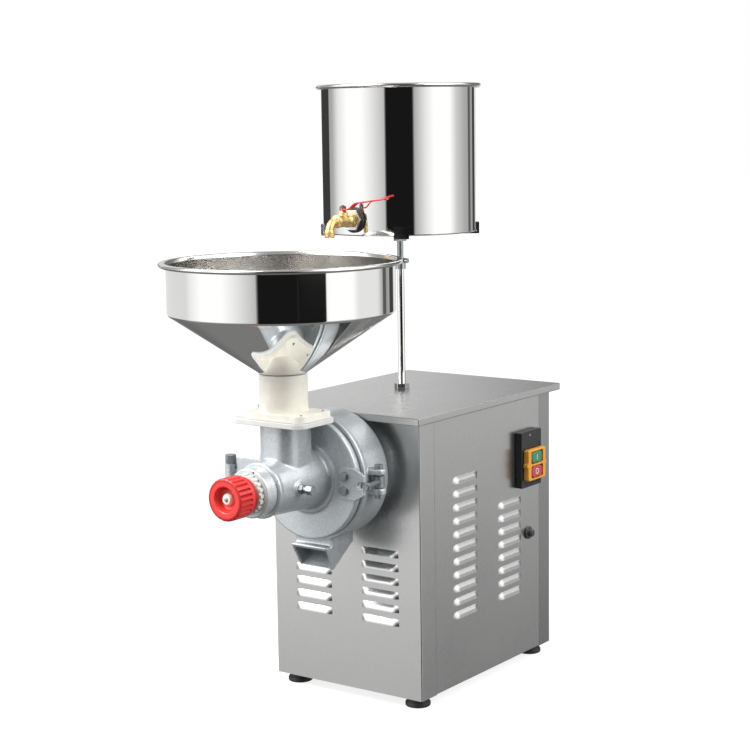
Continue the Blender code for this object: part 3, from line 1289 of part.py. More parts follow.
def make_latch():
    """Pin in the ears, swing bolt resting just clear of the fork, and its nut."""
    half = EAR_GAP / 2 + EAR_THICKNESS + GAP
    head = half + LATCH_PIN_HEAD_HEIGHT
    profile = [(0, head), (LATCH_PIN_HEAD_RADIUS, head), (LATCH_PIN_HEAD_RADIUS, half),
               (LATCH_PIN_RADIUS, half), (LATCH_PIN_RADIUS, -half), (LATCH_PIN_HEAD_RADIUS, -half),
               (LATCH_PIN_HEAD_RADIUS, -head), (0, -head)]
    turned("latch_pin", profile, STEEL_PLAIN, (LATCH_X, LATCH_Y, SPINDLE), sides=SIDES_SMALL)
    axis = bpy.data.objects.new("latch_axis", None)
    axis.location = (LATCH_X, LATCH_Y, SPINDLE)
    axis.rotation_euler = (0, 0, LATCH_REST_TURN)
    PARTS.objects.link(axis)
    bolt = put("swing_bolt", rod_mesh(EYE_RADIUS, EYE_HEIGHT, 16), STEEL_PLAIN,
               (0, 0, -EYE_HEIGHT / 2))
    bolt.parent = axis
    stem = tool("swing_stem", rod_mesh(SWING_BOLT_RADIUS, SWING_BOLT_LENGTH), (0, 0, 0), FORWARD)
    stem.parent = axis
    join(bolt, stem)
    hole = tool("eye_hole", rod_mesh(LATCH_PIN_RADIUS + GAP, EYE_HEIGHT + 2 * OVERRUN),
                (0, 0, -EYE_HEIGHT / 2 - OVERRUN))
    hole.parent = axis
    cut(bolt, hole)
    seat = CLAMP_FACE + LATCH_NUT_AIR - LATCH_AHEAD
    nut = put("latch_nut", hexagon_mesh(LATCH_NUT_FLATS, LATCH_NUT_HEIGHT), STEEL_PLAIN,
              (0, -seat, 0), FORWARD)
    nut.parent = axis
    bore = tool("latch_nut_bore", rod_mesh(SWING_BOLT_RADIUS + GAP, LATCH_NUT_HEIGHT + 2 * OVERRUN),
                (0, -seat + OVERRUN, 0), FORWARD)
    bore.parent = axis
    cut(nut, bore)


def make_lock_bolt():
    """Bolt into the boss's side with a nut against the casting."""
    y = FRONT - LOCK_BOLT_AHEAD
    face = lock_pad_face()
    length = LOCK_BOLT_DEPTH + LOCK_BOLT_PROUD - GAP
    bolt = put("side_lock_bolt", hexagon_mesh(LOCK_BOLT_FLATS, LOCK_BOLT_HEAD), STEEL_PLAIN,
               (face + LOCK_BOLT_PROUD - LOCK_BOLT_HEAD, y, SPINDLE), RIGHTWARD)
    stem = rod_mesh(LOCK_BOLT_RADIUS, length - LOCK_BOLT_HEAD + BURY)
    join(bolt, tool("side_lock_stem", stem, (face - LOCK_BOLT_DEPTH + GAP, y, SPINDLE),
                    RIGHTWARD))
    nut = put("side_lock_nut", hexagon_mesh(LOCK_BOLT_FLATS, LOCK_BOLT_NUT_HEIGHT), STEEL_PLAIN,
              (face + GAP, y, SPINDLE), RIGHTWARD)
    bore = rod_mesh(LOCK_BOLT_RADIUS + GAP, LOCK_BOLT_NUT_HEIGHT + 2 * OVERRUN)
    cut(nut, tool("side_nut_bore", bore, (face + GAP - OVERRUN, y, SPINDLE), RIGHTWARD))


# Grind adjuster

def make_adjuster_sleeve():
    """Stepped sleeve on the boss with the thread for the lock ring."""
    bore = THRUST_PIN_RADIUS + GAP
    edge = SLEEVE_EDGE
    profile = [(THREAD_NECK_RADIUS - edge, THREAD_END), (THREAD_NECK_RADIUS, THREAD_END - edge),
               (THREAD_NECK_RADIUS, SLEEVE_FACE), (SLEEVE_RADIUS - edge, SLEEVE_FACE),
               (SLEEVE_RADIUS, SLEEVE_FACE - edge), (SLEEVE_RADIUS, SLEEVE_AHEAD),
               (bore, SLEEVE_AHEAD), (bore, THREAD_END)]
    turned("adjuster_sleeve", profile, CAST_PAINT, (0, FRONT, SPINDLE), FORWARD, 32, closed=True)


def make_lock_ring():
    """Notched ring on the sleeve's thread."""
    steps = LOCK_RING_NOTCHES * 4
    outline = []
    for step in range(steps):
        radius = LOCK_RING_RADIUS if step % 4 < 2 else LOCK_RING_ROOT_RADIUS
        turn = 2 * pi * step / steps
        outline.append((radius * cos(turn), radius * sin(turn)))
    y = FRONT - SLEEVE_FACE - GAP - LOCK_RING_THICKNESS / 2
    ring = put("lock_ring", plate_mesh(outline, LOCK_RING_THICKNESS), STEEL_PLAIN,
               (0, y, SPINDLE), FORWARD)
    bore = rod_mesh(THREAD_NECK_RADIUS + GAP, LOCK_RING_THICKNESS + 2 * OVERRUN, SIDES_MEDIUM)
    cut(ring, tool("lock_ring_bore", bore,
                   (0, y + LOCK_RING_THICKNESS / 2 + OVERRUN, SPINDLE), FORWARD))


def make_thrust_pin():
    """Pin from the handwheel to the end of the feed screw; local Z runs to the front."""
    back = SCREW_TIP + THRUST_PIN_AIR
    length = WHEEL_AHEAD + HANDWHEEL_SOCKET_DEPTH - GAP - back
    put("thrust_pin", rod_mesh(THRUST_PIN_RADIUS, length), STEEL_PLAIN,
        (0, FRONT - back, SPINDLE), FORWARD)


def make_handwheel():
    """Ribbed wheel, dished in front, with a hub and a socket for the pin."""
    depth = HANDWHEEL_DEPTH
    dish = depth - HANDWHEEL_DISH_DEPTH
    edge = HANDWHEEL_RIB_HEIGHT
    neck = HANDWHEEL_NECK_DEPTH
    socket = THRUST_PIN_RADIUS + GAP
    profile = [(0, dish + HANDWHEEL_HUB_RISE), (HANDWHEEL_HUB_RADIUS, dish + HANDWHEEL_HUB_RISE),
               (HANDWHEEL_HUB_RADIUS + edge, dish), (HANDWHEEL_DISH_RADIUS - edge, dish + edge),
               (HANDWHEEL_DISH_RADIUS, depth - edge), (HANDWHEEL_DISH_RADIUS + edge, depth),
               (HANDWHEEL_FRONT_RADIUS - edge, depth), (HANDWHEEL_FRONT_RADIUS, depth - edge),
               (HANDWHEEL_BACK_RADIUS, neck + edge), (HANDWHEEL_BACK_RADIUS - edge, neck),
               (HANDWHEEL_NECK_RADIUS, neck), (HANDWHEEL_NECK_RADIUS, 0), (socket, 0),
               (socket, HANDWHEEL_SOCKET_DEPTH), (0, HANDWHEEL_SOCKET_DEPTH)]
    place = (0, FRONT - WHEEL_AHEAD, SPINDLE)
    wheel = turned("handwheel", profile, RED, place, FORWARD, SIDES_LARGE)

    def ribs(shape):
        lean = (HANDWHEEL_BACK_RADIUS - HANDWHEEL_FRONT_RADIUS) / (depth - neck - 2 * edge)
        middle = HANDWHEEL_RIB_START + HANDWHEEL_RIB_LENGTH / 2
        radius = HANDWHEEL_BACK_RADIUS - lean * (middle - neck - edge)
        width = pi * HANDWHEEL_BACK_RADIUS / HANDWHEEL_RIBS / 2
        for number in range(HANDWHEEL_RIBS):
            turn = Matrix.Rotation(2 * pi * number / HANDWHEEL_RIBS, 4, "Z")
            tilt = Matrix.Rotation(-lean, 4, "Y")
            size = Matrix.Diagonal((2 * edge, 2 * width, HANDWHEEL_RIB_LENGTH, 1))
            place = turn @ Matrix.Translation((radius, 0, middle)) @ tilt @ size
            bmesh.ops.create_cube(shape, size=1, matrix=place)
    cut(wheel, tool("wheel_flutes", mesh_from(ribs, "flutes"), place, FORWARD))


# Feed spout and hopper

def make_feed_spout():
    """Cream tube with an oblong foot flange."""
    profile = [(0, SPOUT_HEIGHT), (SPOUT_RADIUS - SPOUT_BEVEL, SPOUT_HEIGHT),
               (SPOUT_RADIUS, SPOUT_HEIGHT - SPOUT_BEVEL), (SPOUT_RADIUS, 0), (0, 0)]
    place = (0, DUCT_Y, SPOUT_BASE)
    spout = turned("feed_spout", profile, CREAM, place, sides=32)
    join(spout, rounded_block("spout_flange", SPOUT_FLANGE_LENGTH, SPOUT_FLANGE_WIDTH,
                              SPOUT_FLANGE_CORNER, (SPOUT_FLANGE_SHIFT, DUCT_Y, SPOUT_BASE),
                              SPOUT_BASE + SPOUT_FLANGE_THICKNESS))
    bore = rod_mesh(SPOUT_BORE_RADIUS, SPOUT_HEIGHT + 2 * OVERRUN, 32)
    cut(spout, tool("spout_bore", bore, (0, DUCT_Y, SPOUT_BASE - OVERRUN)))


def make_hopper():
    """Spun sheet: rolled lip, upright wall, cone, and a neck that drops into the spout."""
    seat = HOPPER_NECK_SEAT + GAP
    knee = seat + HOPPER_CONE_HEIGHT
    rim = knee + HOPPER_WALL_HEIGHT
    roll = HOPPER_ROLL_RADIUS
    lip = arc((HOPPER_LIP_RADIUS - roll, rim - roll), roll, -pi / 2, pi / 2, 4)
    flare = [(HOPPER_WALL_RADIUS + roll, rim), (HOPPER_WALL_RADIUS, rim - 2 * roll)]
    cone_in = HOPPER_WALL_RADIUS - HOPPER_KNEE
    profile = lip + flare + [(HOPPER_WALL_RADIUS, knee), (cone_in, knee - HOPPER_KNEE),
                             (HOPPER_SEAT_RADIUS, seat + HOPPER_SHEET),
                             (HOPPER_NECK_RADIUS, seat + HOPPER_SHEET), (HOPPER_NECK_RADIUS, 0)]
    hopper = turned("hopper", profile, STEEL_MIRROR, (0, DUCT_Y, SPOUT_TOP - HOPPER_NECK_SEAT),
                    sides=48)
    thicken(hopper, HOPPER_SHEET)


# Water post, cradle and tank

def make_post():
    nut = put("post_nut", hexagon_mesh(POST_NUT_FLATS, POST_NUT_HEIGHT), STEEL_PLAIN,
              (POST_X, POST_Y, POST_FOOT))
    hole = rod_mesh(POST_RADIUS + GAP, POST_NUT_HEIGHT + 2 * OVERRUN)
    cut(nut, tool("post_nut_hole", hole, (POST_X, POST_Y, POST_FOOT - OVERRUN)))
    bore = POST_ROD_RADIUS + GAP
    height = POST_TUBE_TOP - POST_FOOT
    profile = [(POST_RADIUS, height), (POST_RADIUS, 0), (bore, 0), (bore, height)]
    turned("post_tube", profile, STEEL_PLAIN, (POST_X, POST_Y, POST_FOOT), sides=16, closed=True)
    wide = POST_RADIUS + GAP
    step = COLLAR_OVERLAP + GAP
    profile = [(COLLAR_RADIUS, COLLAR_HEIGHT), (COLLAR_RADIUS, 0), (wide, 0), (wide, step),
               (bore, step), (bore, COLLAR_HEIGHT)]
    place = (POST_X, POST_Y, POST_TUBE_TOP - COLLAR_OVERLAP)
    collar = turned("post_collar", profile, STEEL_PLAIN, place, sides=16, closed=True)
    z = place[2] + (step + COLLAR_HEIGHT) / 2
    hole = rod_mesh(CLAMP_SCREW_RADIUS + GAP, COLLAR_RADIUS + OVERRUN)
    cut(collar, tool("clamp_screw_hole", hole, (POST_X, POST_Y, z), RIGHTWARD))
    tip = POST_ROD_RADIUS + GAP
    stem = COLLAR_RADIUS + CLAMP_SCREW_PROUD
    head = stem + CLAMP_SCREW_HEAD_LENGTH
    profile = [(0, head), (CLAMP_SCREW_HEAD_RADIUS, head), (CLAMP_SCREW_HEAD_RADIUS, stem),
               (CLAMP_SCREW_RADIUS, stem), (CLAMP_SCREW_RADIUS, tip), (0, tip)]
    turned("clamp_screw", profile, STEEL_PLAIN, (POST_X, POST_Y, z), RIGHTWARD, SIDES_SMALL)


def make_post_rod():
    """Upper rod with the hexagon nut that carries the cradle."""
    bottom = POST_TUBE_TOP - POST_ROD_SEAT
    nut_top = CRADLE_BASE - GAP
    tip = CRADLE_BASE + CRADLE_THICKNESS
    profile = [(0, tip - bottom), (ROD_TIP_RADIUS, tip - bottom),
               (ROD_TIP_RADIUS, nut_top - bottom - BURY), (POST_ROD_RADIUS, nut_top - bottom - BURY),
               (POST_ROD_RADIUS, 0), (0, 0)]
    rod = turned("post_rod", profile, STEEL_PLAIN, (POST_X, POST_Y, bottom), sides=SIDES_SMALL)
    nut = hexagon_mesh(ROD_NUT_FLATS, ROD_NUT_HEIGHT)
    join(rod, tool("rod_nut", nut, (POST_X, POST_Y, nut_top - ROD_NUT_HEIGHT)))


def make_cradle():
    """Two crossed flat bars with upturned ends that hold the tank."""
    reach = TANK_RADIUS + 2 * GAP + CRADLE_THICKNESS / 2
    half = CRADLE_THICKNESS / 2
    rise = CRADLE_THICKNESS + CRADLE_TAB_HEIGHT
    points = [(-reach, 0, rise), (-reach, 0, half), (reach, 0, half), (reach, 0, rise)]
    bars = []
    for number, turn in enumerate((CRADLE_TURN, CRADLE_TURN + pi / 2)):
        mesh = strip_mesh(points, (0, CRADLE_BAR_WIDTH, 0))
        mesh.transform(Matrix.Translation((0, -CRADLE_BAR_WIDTH / 2, 0)))
        spot = (POST_X, POST_Y, CRADLE_BASE)
        if number == 0:
            bar = put("tank_cradle", mesh, STEEL_PLAIN, spot, (0, 0, turn))
        else:
            bar = tool("cross_bar", mesh, spot, (0, 0, turn))
        thicken(bar, CRADLE_THICKNESS, offset=0)
        bars.append(bar)
    join(*bars)
    hub = rod_mesh(CRADLE_HUB_RADIUS, CRADLE_THICKNESS + CRADLE_HUB_STEP, SIDES_MEDIUM)
    join(bars[0], tool("cradle_hub", hub, (POST_X, POST_Y, CRADLE_BASE)))
    hole = rod_mesh(ROD_TIP_RADIUS + GAP, CRADLE_THICKNESS + CRADLE_HUB_STEP + 2 * OVERRUN)
    cut(bars[0], tool("cradle_hole", hole, (POST_X, POST_Y, CRADLE_BASE - OVERRUN)))


def make_tank():
    """Open tank with a rolled rim and a hole for the tap."""
    roll = TANK_ROLL_RADIUS
    outer = TANK_RADIUS + TANK_LIP
    lip = arc((outer - roll, TANK_HEIGHT - roll), roll, -pi / 2, pi / 2, 4)
    corner = TANK_CORNER
    profile = lip + [(TANK_RADIUS + roll / 2, TANK_HEIGHT), (TANK_RADIUS, TANK_HEIGHT - roll),
                     (TANK_RADIUS, corner), (TANK_RADIUS - corner, 0), (0, 0)]
    tank = turned("tank", profile, STEEL_MIRROR, (POST_X, POST_Y, TANK_BASE), sides=48)
    thicken(tank, TANK_SHEET)
    hole = rod_mesh(TAP_THREAD_RADIUS + GAP, TAP_THREAD_INSIDE + 2 * OVERRUN, 16)
    cut(tank, tool("tap_hole", hole, (POST_X, TAP_WALL_Y + TAP_THREAD_INSIDE, TAP_Z), FORWARD))


def make_tap():
    """Washer and nut against the tank, brass body with a down-turned spout, and a lever."""
    start = 2 * GAP
    bore = TAP_THREAD_RADIUS + GAP
    washer_end = start + TAP_WASHER_THICKNESS
    profile = [(TAP_WASHER_RADIUS, washer_end), (TAP_WASHER_RADIUS, start), (bore, start),
               (bore, washer_end)]
    origin = (POST_X, TAP_WALL_Y, TAP_Z)
    turned("tap_washer", profile, RUBBER, origin, FORWARD, closed=True)
    nut_start = washer_end + GAP
    nut_end = nut_start + TAP_NUT_THICKNESS
    place = (POST_X, TAP_WALL_Y - nut_start, TAP_Z)
    nut = put("tap_nut", hexagon_mesh(TAP_NUT_FLATS, TAP_NUT_THICKNESS), STEEL_PLAIN, place, FORWARD)
    hole = rod_mesh(bore, TAP_NUT_THICKNESS + 2 * OVERRUN, 16)
    place = (POST_X, TAP_WALL_Y - nut_start + OVERRUN, TAP_Z)
    cut(nut, tool("tap_nut_bore", hole, place, FORWARD))
    collar = nut_end + GAP
    barrel = collar + TAP_COLLAR_LENGTH
    end = barrel + TAP_BODY_LENGTH
    profile = [(0, end), (TAP_BODY_RADIUS - BURY, end), (TAP_BODY_RADIUS, end - BURY),
               (TAP_BODY_RADIUS, barrel), (TAP_COLLAR_RADIUS, barrel), (TAP_COLLAR_RADIUS, collar),
               (TAP_THREAD_RADIUS, collar), (TAP_THREAD_RADIUS, -TAP_THREAD_INSIDE),
               (0, -TAP_THREAD_INSIDE)]
    body = turned("tap_body", profile, BRASS, origin, FORWARD, 16)
    bend = arc((end, -TAP_SPOUT_REACH), TAP_SPOUT_REACH, pi / 2, 0, 4)
    route = [(0, -(end - TAP_BODY_RADIUS), 0)] + [(0, -ahead, z) for ahead, z in bend]
    route.append((0, -(end + TAP_SPOUT_REACH), -TAP_SPOUT_DROP))
    join(body, tool("tap_spout", tube_mesh(route, TAP_SPOUT_RADIUS), origin))
    stem_y = TAP_WALL_Y - end + TAP_STEM_SETBACK
    stem = rod_mesh(TAP_STEM_RADIUS, TAP_STEM_HEIGHT)
    join(body, tool("tap_stem", stem, (POST_X, stem_y, TAP_Z)))
    seat = TAP_Z + TAP_STEM_HEIGHT + GAP
    bend_x = LEVER_LENGTH * LEVER_BEND_SHARE
    rise_x = LEVER_LENGTH * LEVER_RISE_END_SHARE
    half = LEVER_THICKNESS / 2
    points = [(-LEVER_WIDTH / 2, 0, half), (bend_x, 0, half), (rise_x, 0, half + LEVER_RISE),
              (LEVER_LENGTH, 0, half + LEVER_TIP_RISE)]
    mesh = strip_mesh(points, (0, LEVER_WIDTH, 0))
    mesh.transform(Matrix.Translation((0, -LEVER_WIDTH / 2, 0)))
    lever = put("tap_lever", mesh, RED, (POST_X, stem_y, seat))
    thicken(lever, LEVER_THICKNESS, offset=0)
    cap = rod_mesh(LEVER_CAP_RADIUS, LEVER_THICKNESS + LEVER_CAP_HEIGHT)
    join(lever, tool("lever_cap", cap, (POST_X, stem_y, seat + BURY / 4)))


def make_all():
    make_base_plate()
    make_front_panel()
    make_left_panel()
    make_rear_panel()
    make_lid()
    make_feet()
    make_door()
    make_door_hinge()
    make_door_lock()
    make_switch()
    make_cable_gland()
    make_motor()
    make_motor_shaft()
    make_pulley("motor_pulley", MOTOR_PULLEY_RADIUS, MOTOR_SHAFT_RADIUS + GAP, MOTOR_AXIS)
    make_pulley("spindle_pulley", SPINDLE_PULLEY_RADIUS, SPINDLE_RADIUS + GAP, SPINDLE)
    make_belt()
    make_bearing_block()
    make_spindle()
    make_rear_housing()
    make_stones()
    make_feed_screw()
    make_gasket()
    make_front_cover()
    make_face_bolts()
    make_hinge_leaf()
    make_hinge_bracket()
    make_hinge_pin()
    make_clamp_plate()
    make_latch()
    make_lock_bolt()
    make_adjuster_sleeve()
    make_lock_ring()
    make_thrust_pin()
    make_handwheel()
    make_feed_spout()
    make_hopper()
    make_post()
    make_post_rod()
    make_cradle()
    make_tank()
    make_tap()


make_all()
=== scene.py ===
# %% [markdown]
# # A nut butter grinder, dressed for its photograph
#
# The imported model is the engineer's version of the machine: each piece at its real size, with its joints.
# This notebook gives each piece the surface and the small shapes that the eye expects: spun and polished
# steel, satin sheet with pressed louvres, grey hammered paint on rough castings, cream and red plastic, and
# brass.
# Every cell does one thing, so it can be read, run and changed on its own.

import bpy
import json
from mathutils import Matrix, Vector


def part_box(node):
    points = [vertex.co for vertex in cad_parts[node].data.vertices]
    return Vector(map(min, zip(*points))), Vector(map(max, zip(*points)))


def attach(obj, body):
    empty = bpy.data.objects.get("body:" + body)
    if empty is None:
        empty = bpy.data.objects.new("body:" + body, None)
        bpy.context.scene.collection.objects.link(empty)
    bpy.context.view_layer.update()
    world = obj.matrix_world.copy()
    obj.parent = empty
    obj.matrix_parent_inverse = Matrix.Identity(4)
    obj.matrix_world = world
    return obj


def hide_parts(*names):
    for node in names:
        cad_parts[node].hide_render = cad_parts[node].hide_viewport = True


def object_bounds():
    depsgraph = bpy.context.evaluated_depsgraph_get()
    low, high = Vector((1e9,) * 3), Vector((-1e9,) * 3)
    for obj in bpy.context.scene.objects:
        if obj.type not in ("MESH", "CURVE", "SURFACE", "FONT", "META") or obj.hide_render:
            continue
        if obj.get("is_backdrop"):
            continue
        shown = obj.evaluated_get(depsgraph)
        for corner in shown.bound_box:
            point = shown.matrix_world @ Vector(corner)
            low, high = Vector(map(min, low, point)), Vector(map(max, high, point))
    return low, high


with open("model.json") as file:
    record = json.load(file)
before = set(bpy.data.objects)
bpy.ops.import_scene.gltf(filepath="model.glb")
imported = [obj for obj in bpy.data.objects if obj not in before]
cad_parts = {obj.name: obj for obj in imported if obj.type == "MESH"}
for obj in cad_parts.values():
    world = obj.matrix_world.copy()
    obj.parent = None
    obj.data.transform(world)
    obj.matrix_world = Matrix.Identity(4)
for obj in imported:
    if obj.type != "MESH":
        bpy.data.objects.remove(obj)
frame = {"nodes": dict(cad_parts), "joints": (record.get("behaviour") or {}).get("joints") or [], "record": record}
cad_low, cad_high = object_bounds()
print("nodes:", len(frame["nodes"]), "size in mm:", [round(1000 * side, 1) for side in cad_high - cad_low])

# %% [markdown]
# ## Sizes that the whole model shares
#
# The frame gives the joints, and a joint's place is the best landmark: the spindle's axis, the latch, the door's
# lock and the tank's tap all follow from them. The named sizes below repeat those of the construction, in metres,
# so that each dressed piece fills the space of the plain solid that it stands for.

# %% Landmarks
import json
from math import cos, pi, radians, sin, sqrt, tan

import bmesh
import bpy
from mathutils import Matrix, Vector

joints = {joint["name"]: Vector(joint["pos_m"]) for joint in frame["joints"] if "pos_m" in joint}
body_of = {node: body for body, nodes in frame["record"]["behaviour"]["bodies"].items() for node in nodes}



def box_middle(node):
    low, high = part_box(node)
    return (low + high) / 2


GAP = 0.0003
FRONT = joints["spindle_spin"].y
SPINDLE = joints["spindle_spin"].z
LEFT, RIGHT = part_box("left_panel")[0].x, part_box("rear_panel")[1].x
PANEL_LOW, PANEL_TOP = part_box("front_panel")[0].z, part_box("front_panel")[1].z
SHEET = 0.0015
HEAD_AXIS = Vector((0, FRONT, SPINDLE))
print("head axis", [round(value, 4) for value in HEAD_AXIS], "panel", PANEL_LOW, PANEL_TOP)

# %% [markdown]
# ## The camera
#
# A product photographer stands well back with a long lens, so that the machine's upright lines stay upright.
# The camera is turned by three angles: round the vertical, down towards the cabinet, and a hair of roll.
# Building the rotation from three unit vectors is easier to follow than guessing Euler angles.

# %% Set the camera
CAMERA_PLACE = Vector((1.6479, -2.2369, 0.9201))
CAMERA_TURN = 0.6258
CAMERA_DIP = 0.1449
CAMERA_ROLL = -0.0146
SENSOR = 36
FOCAL_PIXELS = 1787.065
PICTURE_PIXELS = 750


def camera_axes(turn, dip, roll):
    """The camera's right, up and backward directions."""
    ahead = Vector((-sin(turn) * cos(dip), cos(turn) * cos(dip), -sin(dip)))
    right = Vector((cos(turn), sin(turn), 0))
    up = right.cross(ahead)
    return cos(roll) * right + sin(roll) * up, cos(roll) * up - sin(roll) * right, -ahead


lens = bpy.data.cameras.new("product_lens")
lens.sensor_width = SENSOR
lens.lens = SENSOR * FOCAL_PIXELS / PICTURE_PIXELS
lens.clip_end = 100
camera = bpy.data.objects.new("product_camera", lens)
bpy.context.scene.collection.objects.link(camera)
turned_axes = Matrix(camera_axes(CAMERA_TURN, CAMERA_DIP, CAMERA_ROLL)).transposed()
camera.matrix_world = Matrix.Translation(CAMERA_PLACE) @ turned_axes.to_4x4()
bpy.context.scene.camera = camera
bpy.context.scene.view_settings.view_transform = "Standard"
print("lens", round(lens.lens, 2), "mm")

# %% [markdown]
# ## Shader maths in plain Python
#
# A material is a small program made of nodes. Wiring Math nodes by hand hides the formula, so this class
# wraps a socket and lets Python's own operators add the nodes: `1 - mask * 0.4` reads as what it does.
# Colours and vectors don't survive a Math node, so they have methods of their own.

# %% A socket that understands arithmetic
class Wire:
    """An output socket of a node tree, with the operators that the materials below use."""

    def __init__(self, tree, socket):
        self.tree = tree
        self.socket = socket

    def node(self, kind, settings=None, inputs=None, output=0):
        return add_node(self.tree, kind, settings, inputs, output)

    def math(self, operation, *others):
        return self.node("ShaderNodeMath", {"operation": operation}, dict(enumerate((self, *others))))

    def vector_math(self, operation, other):
        return self.node("ShaderNodeVectorMath", {"operation": operation}, {0: self, 1: other})

    def part(self, axis):
        return self.node("ShaderNodeSeparateXYZ", None, {0: self}, axis)

    def scaled(self, sizes):
        return self.vector_math("MULTIPLY", sizes)

    def shifted(self, place):
        return self.vector_math("SUBTRACT", place)

    def moved(self, offset):
        return self.vector_math("ADD", offset)

    def between(self, first, second):
        """A colour or a number that goes from first to second as this wire goes from 0 to 1."""
        if isinstance(first, tuple):
            return self.node("ShaderNodeMix", {"data_type": "RGBA"}, {0: self, 6: first, 7: second}, 2)
        return first + (second - first) * self

    def steps(self, low, high):
        """0 below low, 1 above high and a smooth slope between."""
        settings = {"interpolation_type": "SMOOTHSTEP"}
        return self.node("ShaderNodeMapRange", settings, {0: self, 1: low, 2: high})

    def __add__(self, other):
        return self.math("ADD", other)

    def __sub__(self, other):
        return self.math("SUBTRACT", other)

    def __rsub__(self, other):
        return self.node("ShaderNodeMath", {"operation": "SUBTRACT"}, {0: other, 1: self})

    def __mul__(self, other):
        return self.math("MULTIPLY", other)

    def __truediv__(self, other):
        return self.math("DIVIDE", other)

    def __pow__(self, other):
        return self.math("POWER", other)

    __radd__ = __add__
    __rmul__ = __mul__


def add_node(tree, kind, settings=None, inputs=None, output=0):
    """Adds one node: its settings first, then a value or a wire on each named or numbered input."""
    node = tree.nodes.new(kind)
    for name, value in (settings or {}).items():
        setattr(node, name, value)
    for name, value in (inputs or {}).items():
        if isinstance(value, Wire):
            tree.links.new(value.socket, node.inputs[name])
        else:
            node.inputs[name].default_value = value
    return Wire(tree, node.outputs[output]) if len(node.outputs) else None


print("operators ready")

# %% [markdown]
# ## The studio
#
# Polished steel has no colour of its own: it shows the room. The photograph was taken between two large white
# screens, with a dark gap between them behind the camera, and that gap is the black stripe down the tank and
# the hopper. Here the room is a world shader: a brightness for each compass direction, fixed in the world.
# A stop is (bearing, brightness), with bearings in degrees from the direction of the camera. A card is a
# patch of its own: (bearing from, to, height from, to, brightness, softness of its sides), in degrees again.

# %% Brightness of the room by direction
CAMERA_BEARING = (CAMERA_TURN - pi / 2) / (2 * pi)
ROOM_STOPS = ((-180, 0.78), (-168, 0.38), (-132, 0.42), (-118, 0.50), (-104, 0.95), (-84, 1.25), (-58, 1.25),
              (-44, 1.02), (-31, 0.78), (-22.5, 0.62), (-20.5, 0.010), (19.5, 0.010), (22, 0.50), (38, 0.95),
              (52, 1.25), (80, 1.25), (94, 0.75), (112, 0.51), (135, 0.38), (165, 0.98), (180, 0.78))
CARDS = ((20, 47, -60, -4.7, 0.010, 1.5), (-185, -129, -4.6, 1.6, 0.05, 1.5), (125, 131, -8, 1.6, 0.12, 1.5),
         (141, 153, -8, 1.6, 0.06, 1.5), (172, 185, -8, 1.6, 0.12, 1.5), (-165, -112, -10, -4.7, 0.85, 14),
         (90, 112, -10, -4.7, 0.95, 14), (-104, -44, 22, 62, 3.0, 2), (66, 136, 16, 74, 2.0, 4),
         (120, 172, 2.5, 34, 0.22, 8), (-180, -140, 2.5, 34, 0.84, 0.5), (-104, -44, 3, 22, 2.4, 2),
         (44, 84, 3, 22, 2.0, 2))
CEILING_LEVEL = 0.50
DIP = (-0.33, -0.18)
DIP_SHARE = 0.42
DEEP = (-0.66, -0.42)
DEEP_LEVEL = 0.22

world = bpy.data.worlds.new("studio_room")
bpy.context.scene.world = world
world.use_nodes = True
room = world.node_tree
room.nodes.clear()


def ramp(wire, stops, interpolation="LINEAR"):
    """A colour ramp with grey stops, as (place, brightness) pairs."""
    made = wire.node("ShaderNodeValToRGB", None, {0: wire})
    curve = made.socket.node.color_ramp
    curve.interpolation = interpolation
    while len(curve.elements) < len(stops):
        curve.elements.new(0.5)
    for element, (place, level) in zip(curve.elements, stops):
        element.position = place
        element.color = (level, level, level, 1)
    return made


direction = add_node(room, "ShaderNodeTexCoord")
bearing = direction.part(1).math("ARCTAN2", direction.part(0)) / (2 * pi)
off_axis = (bearing + (1.5 - CAMERA_BEARING)).math("FRACT")
brightest = max(level for _, level in ROOM_STOPS)
wall = ramp(off_axis, [(0.5 + angle / 360, level / brightest) for angle, level in ROOM_STOPS])
height = direction.part(2)
level = height.steps(0.45, 0.80).between(wall * brightest, CEILING_LEVEL)
for start, end, low, high, brightness, soft in CARDS:
    across = off_axis.steps(0.5 + (start - soft) / 360, 0.5 + start / 360)
    across = across * (1 - off_axis.steps(0.5 + end / 360, 0.5 + (end + soft) / 360))
    upright = height.steps(sin(radians(low - 0.5)), sin(radians(low)))
    upright = upright * (1 - height.steps(sin(radians(high)), sin(radians(high + 0.5))))
    level = (across * upright).between(level, brightness)
level = level * height.steps(*DIP).between(DIP_SHARE, 1)
level = height.steps(*DEEP).between(DEEP_LEVEL, level)
print("room ready, brightest", brightest)

# %% [markdown]
# ## White paper behind, pale floor below
#
# The backdrop is white because its own brightness is 1 where the camera looks straight at it, not because
# more light is poured on the machine. Light Path tells the shader which kind of ray is asking.
# The floor is a pale sheet. Part of what it shows is its own shading, and so it keeps the contact shadows.
# Mirrors look through it into the room below, so that the dark stripe runs down the tank unbroken.

# %% Backdrop, floor and lamps
seen = add_node(room, "ShaderNodeLightPath", None, None, "Is Camera Ray")
seen = seen.math("MAXIMUM", add_node(room, "ShaderNodeLightPath", None, None, "Is Transmission Ray"))
shown_level = level + (1.0 - level) * seen
background = add_node(room, "ShaderNodeBackground", None, {"Color": (1, 1, 1, 1), "Strength": shown_level})
add_node(room, "ShaderNodeOutputWorld", None, {"Surface": background})

FLOOR_SIZE = 40
FLOOR_WHITE = (0.86, 0.86, 0.85, 1)
FLOOR_GLOW_SHARE = 0.74
PAPER_GLOW = 1.12
SHADOW_REACH = (0.5, 1.3)
LAMP_TARGET = Vector((0, 0.05, 0.45))
LAMP_SIZE = 1.8
LAMPS = {"key_lamp": (-74, 52, 2.6, 106), "fill_lamp": (60, 40, 3.0, 50)}


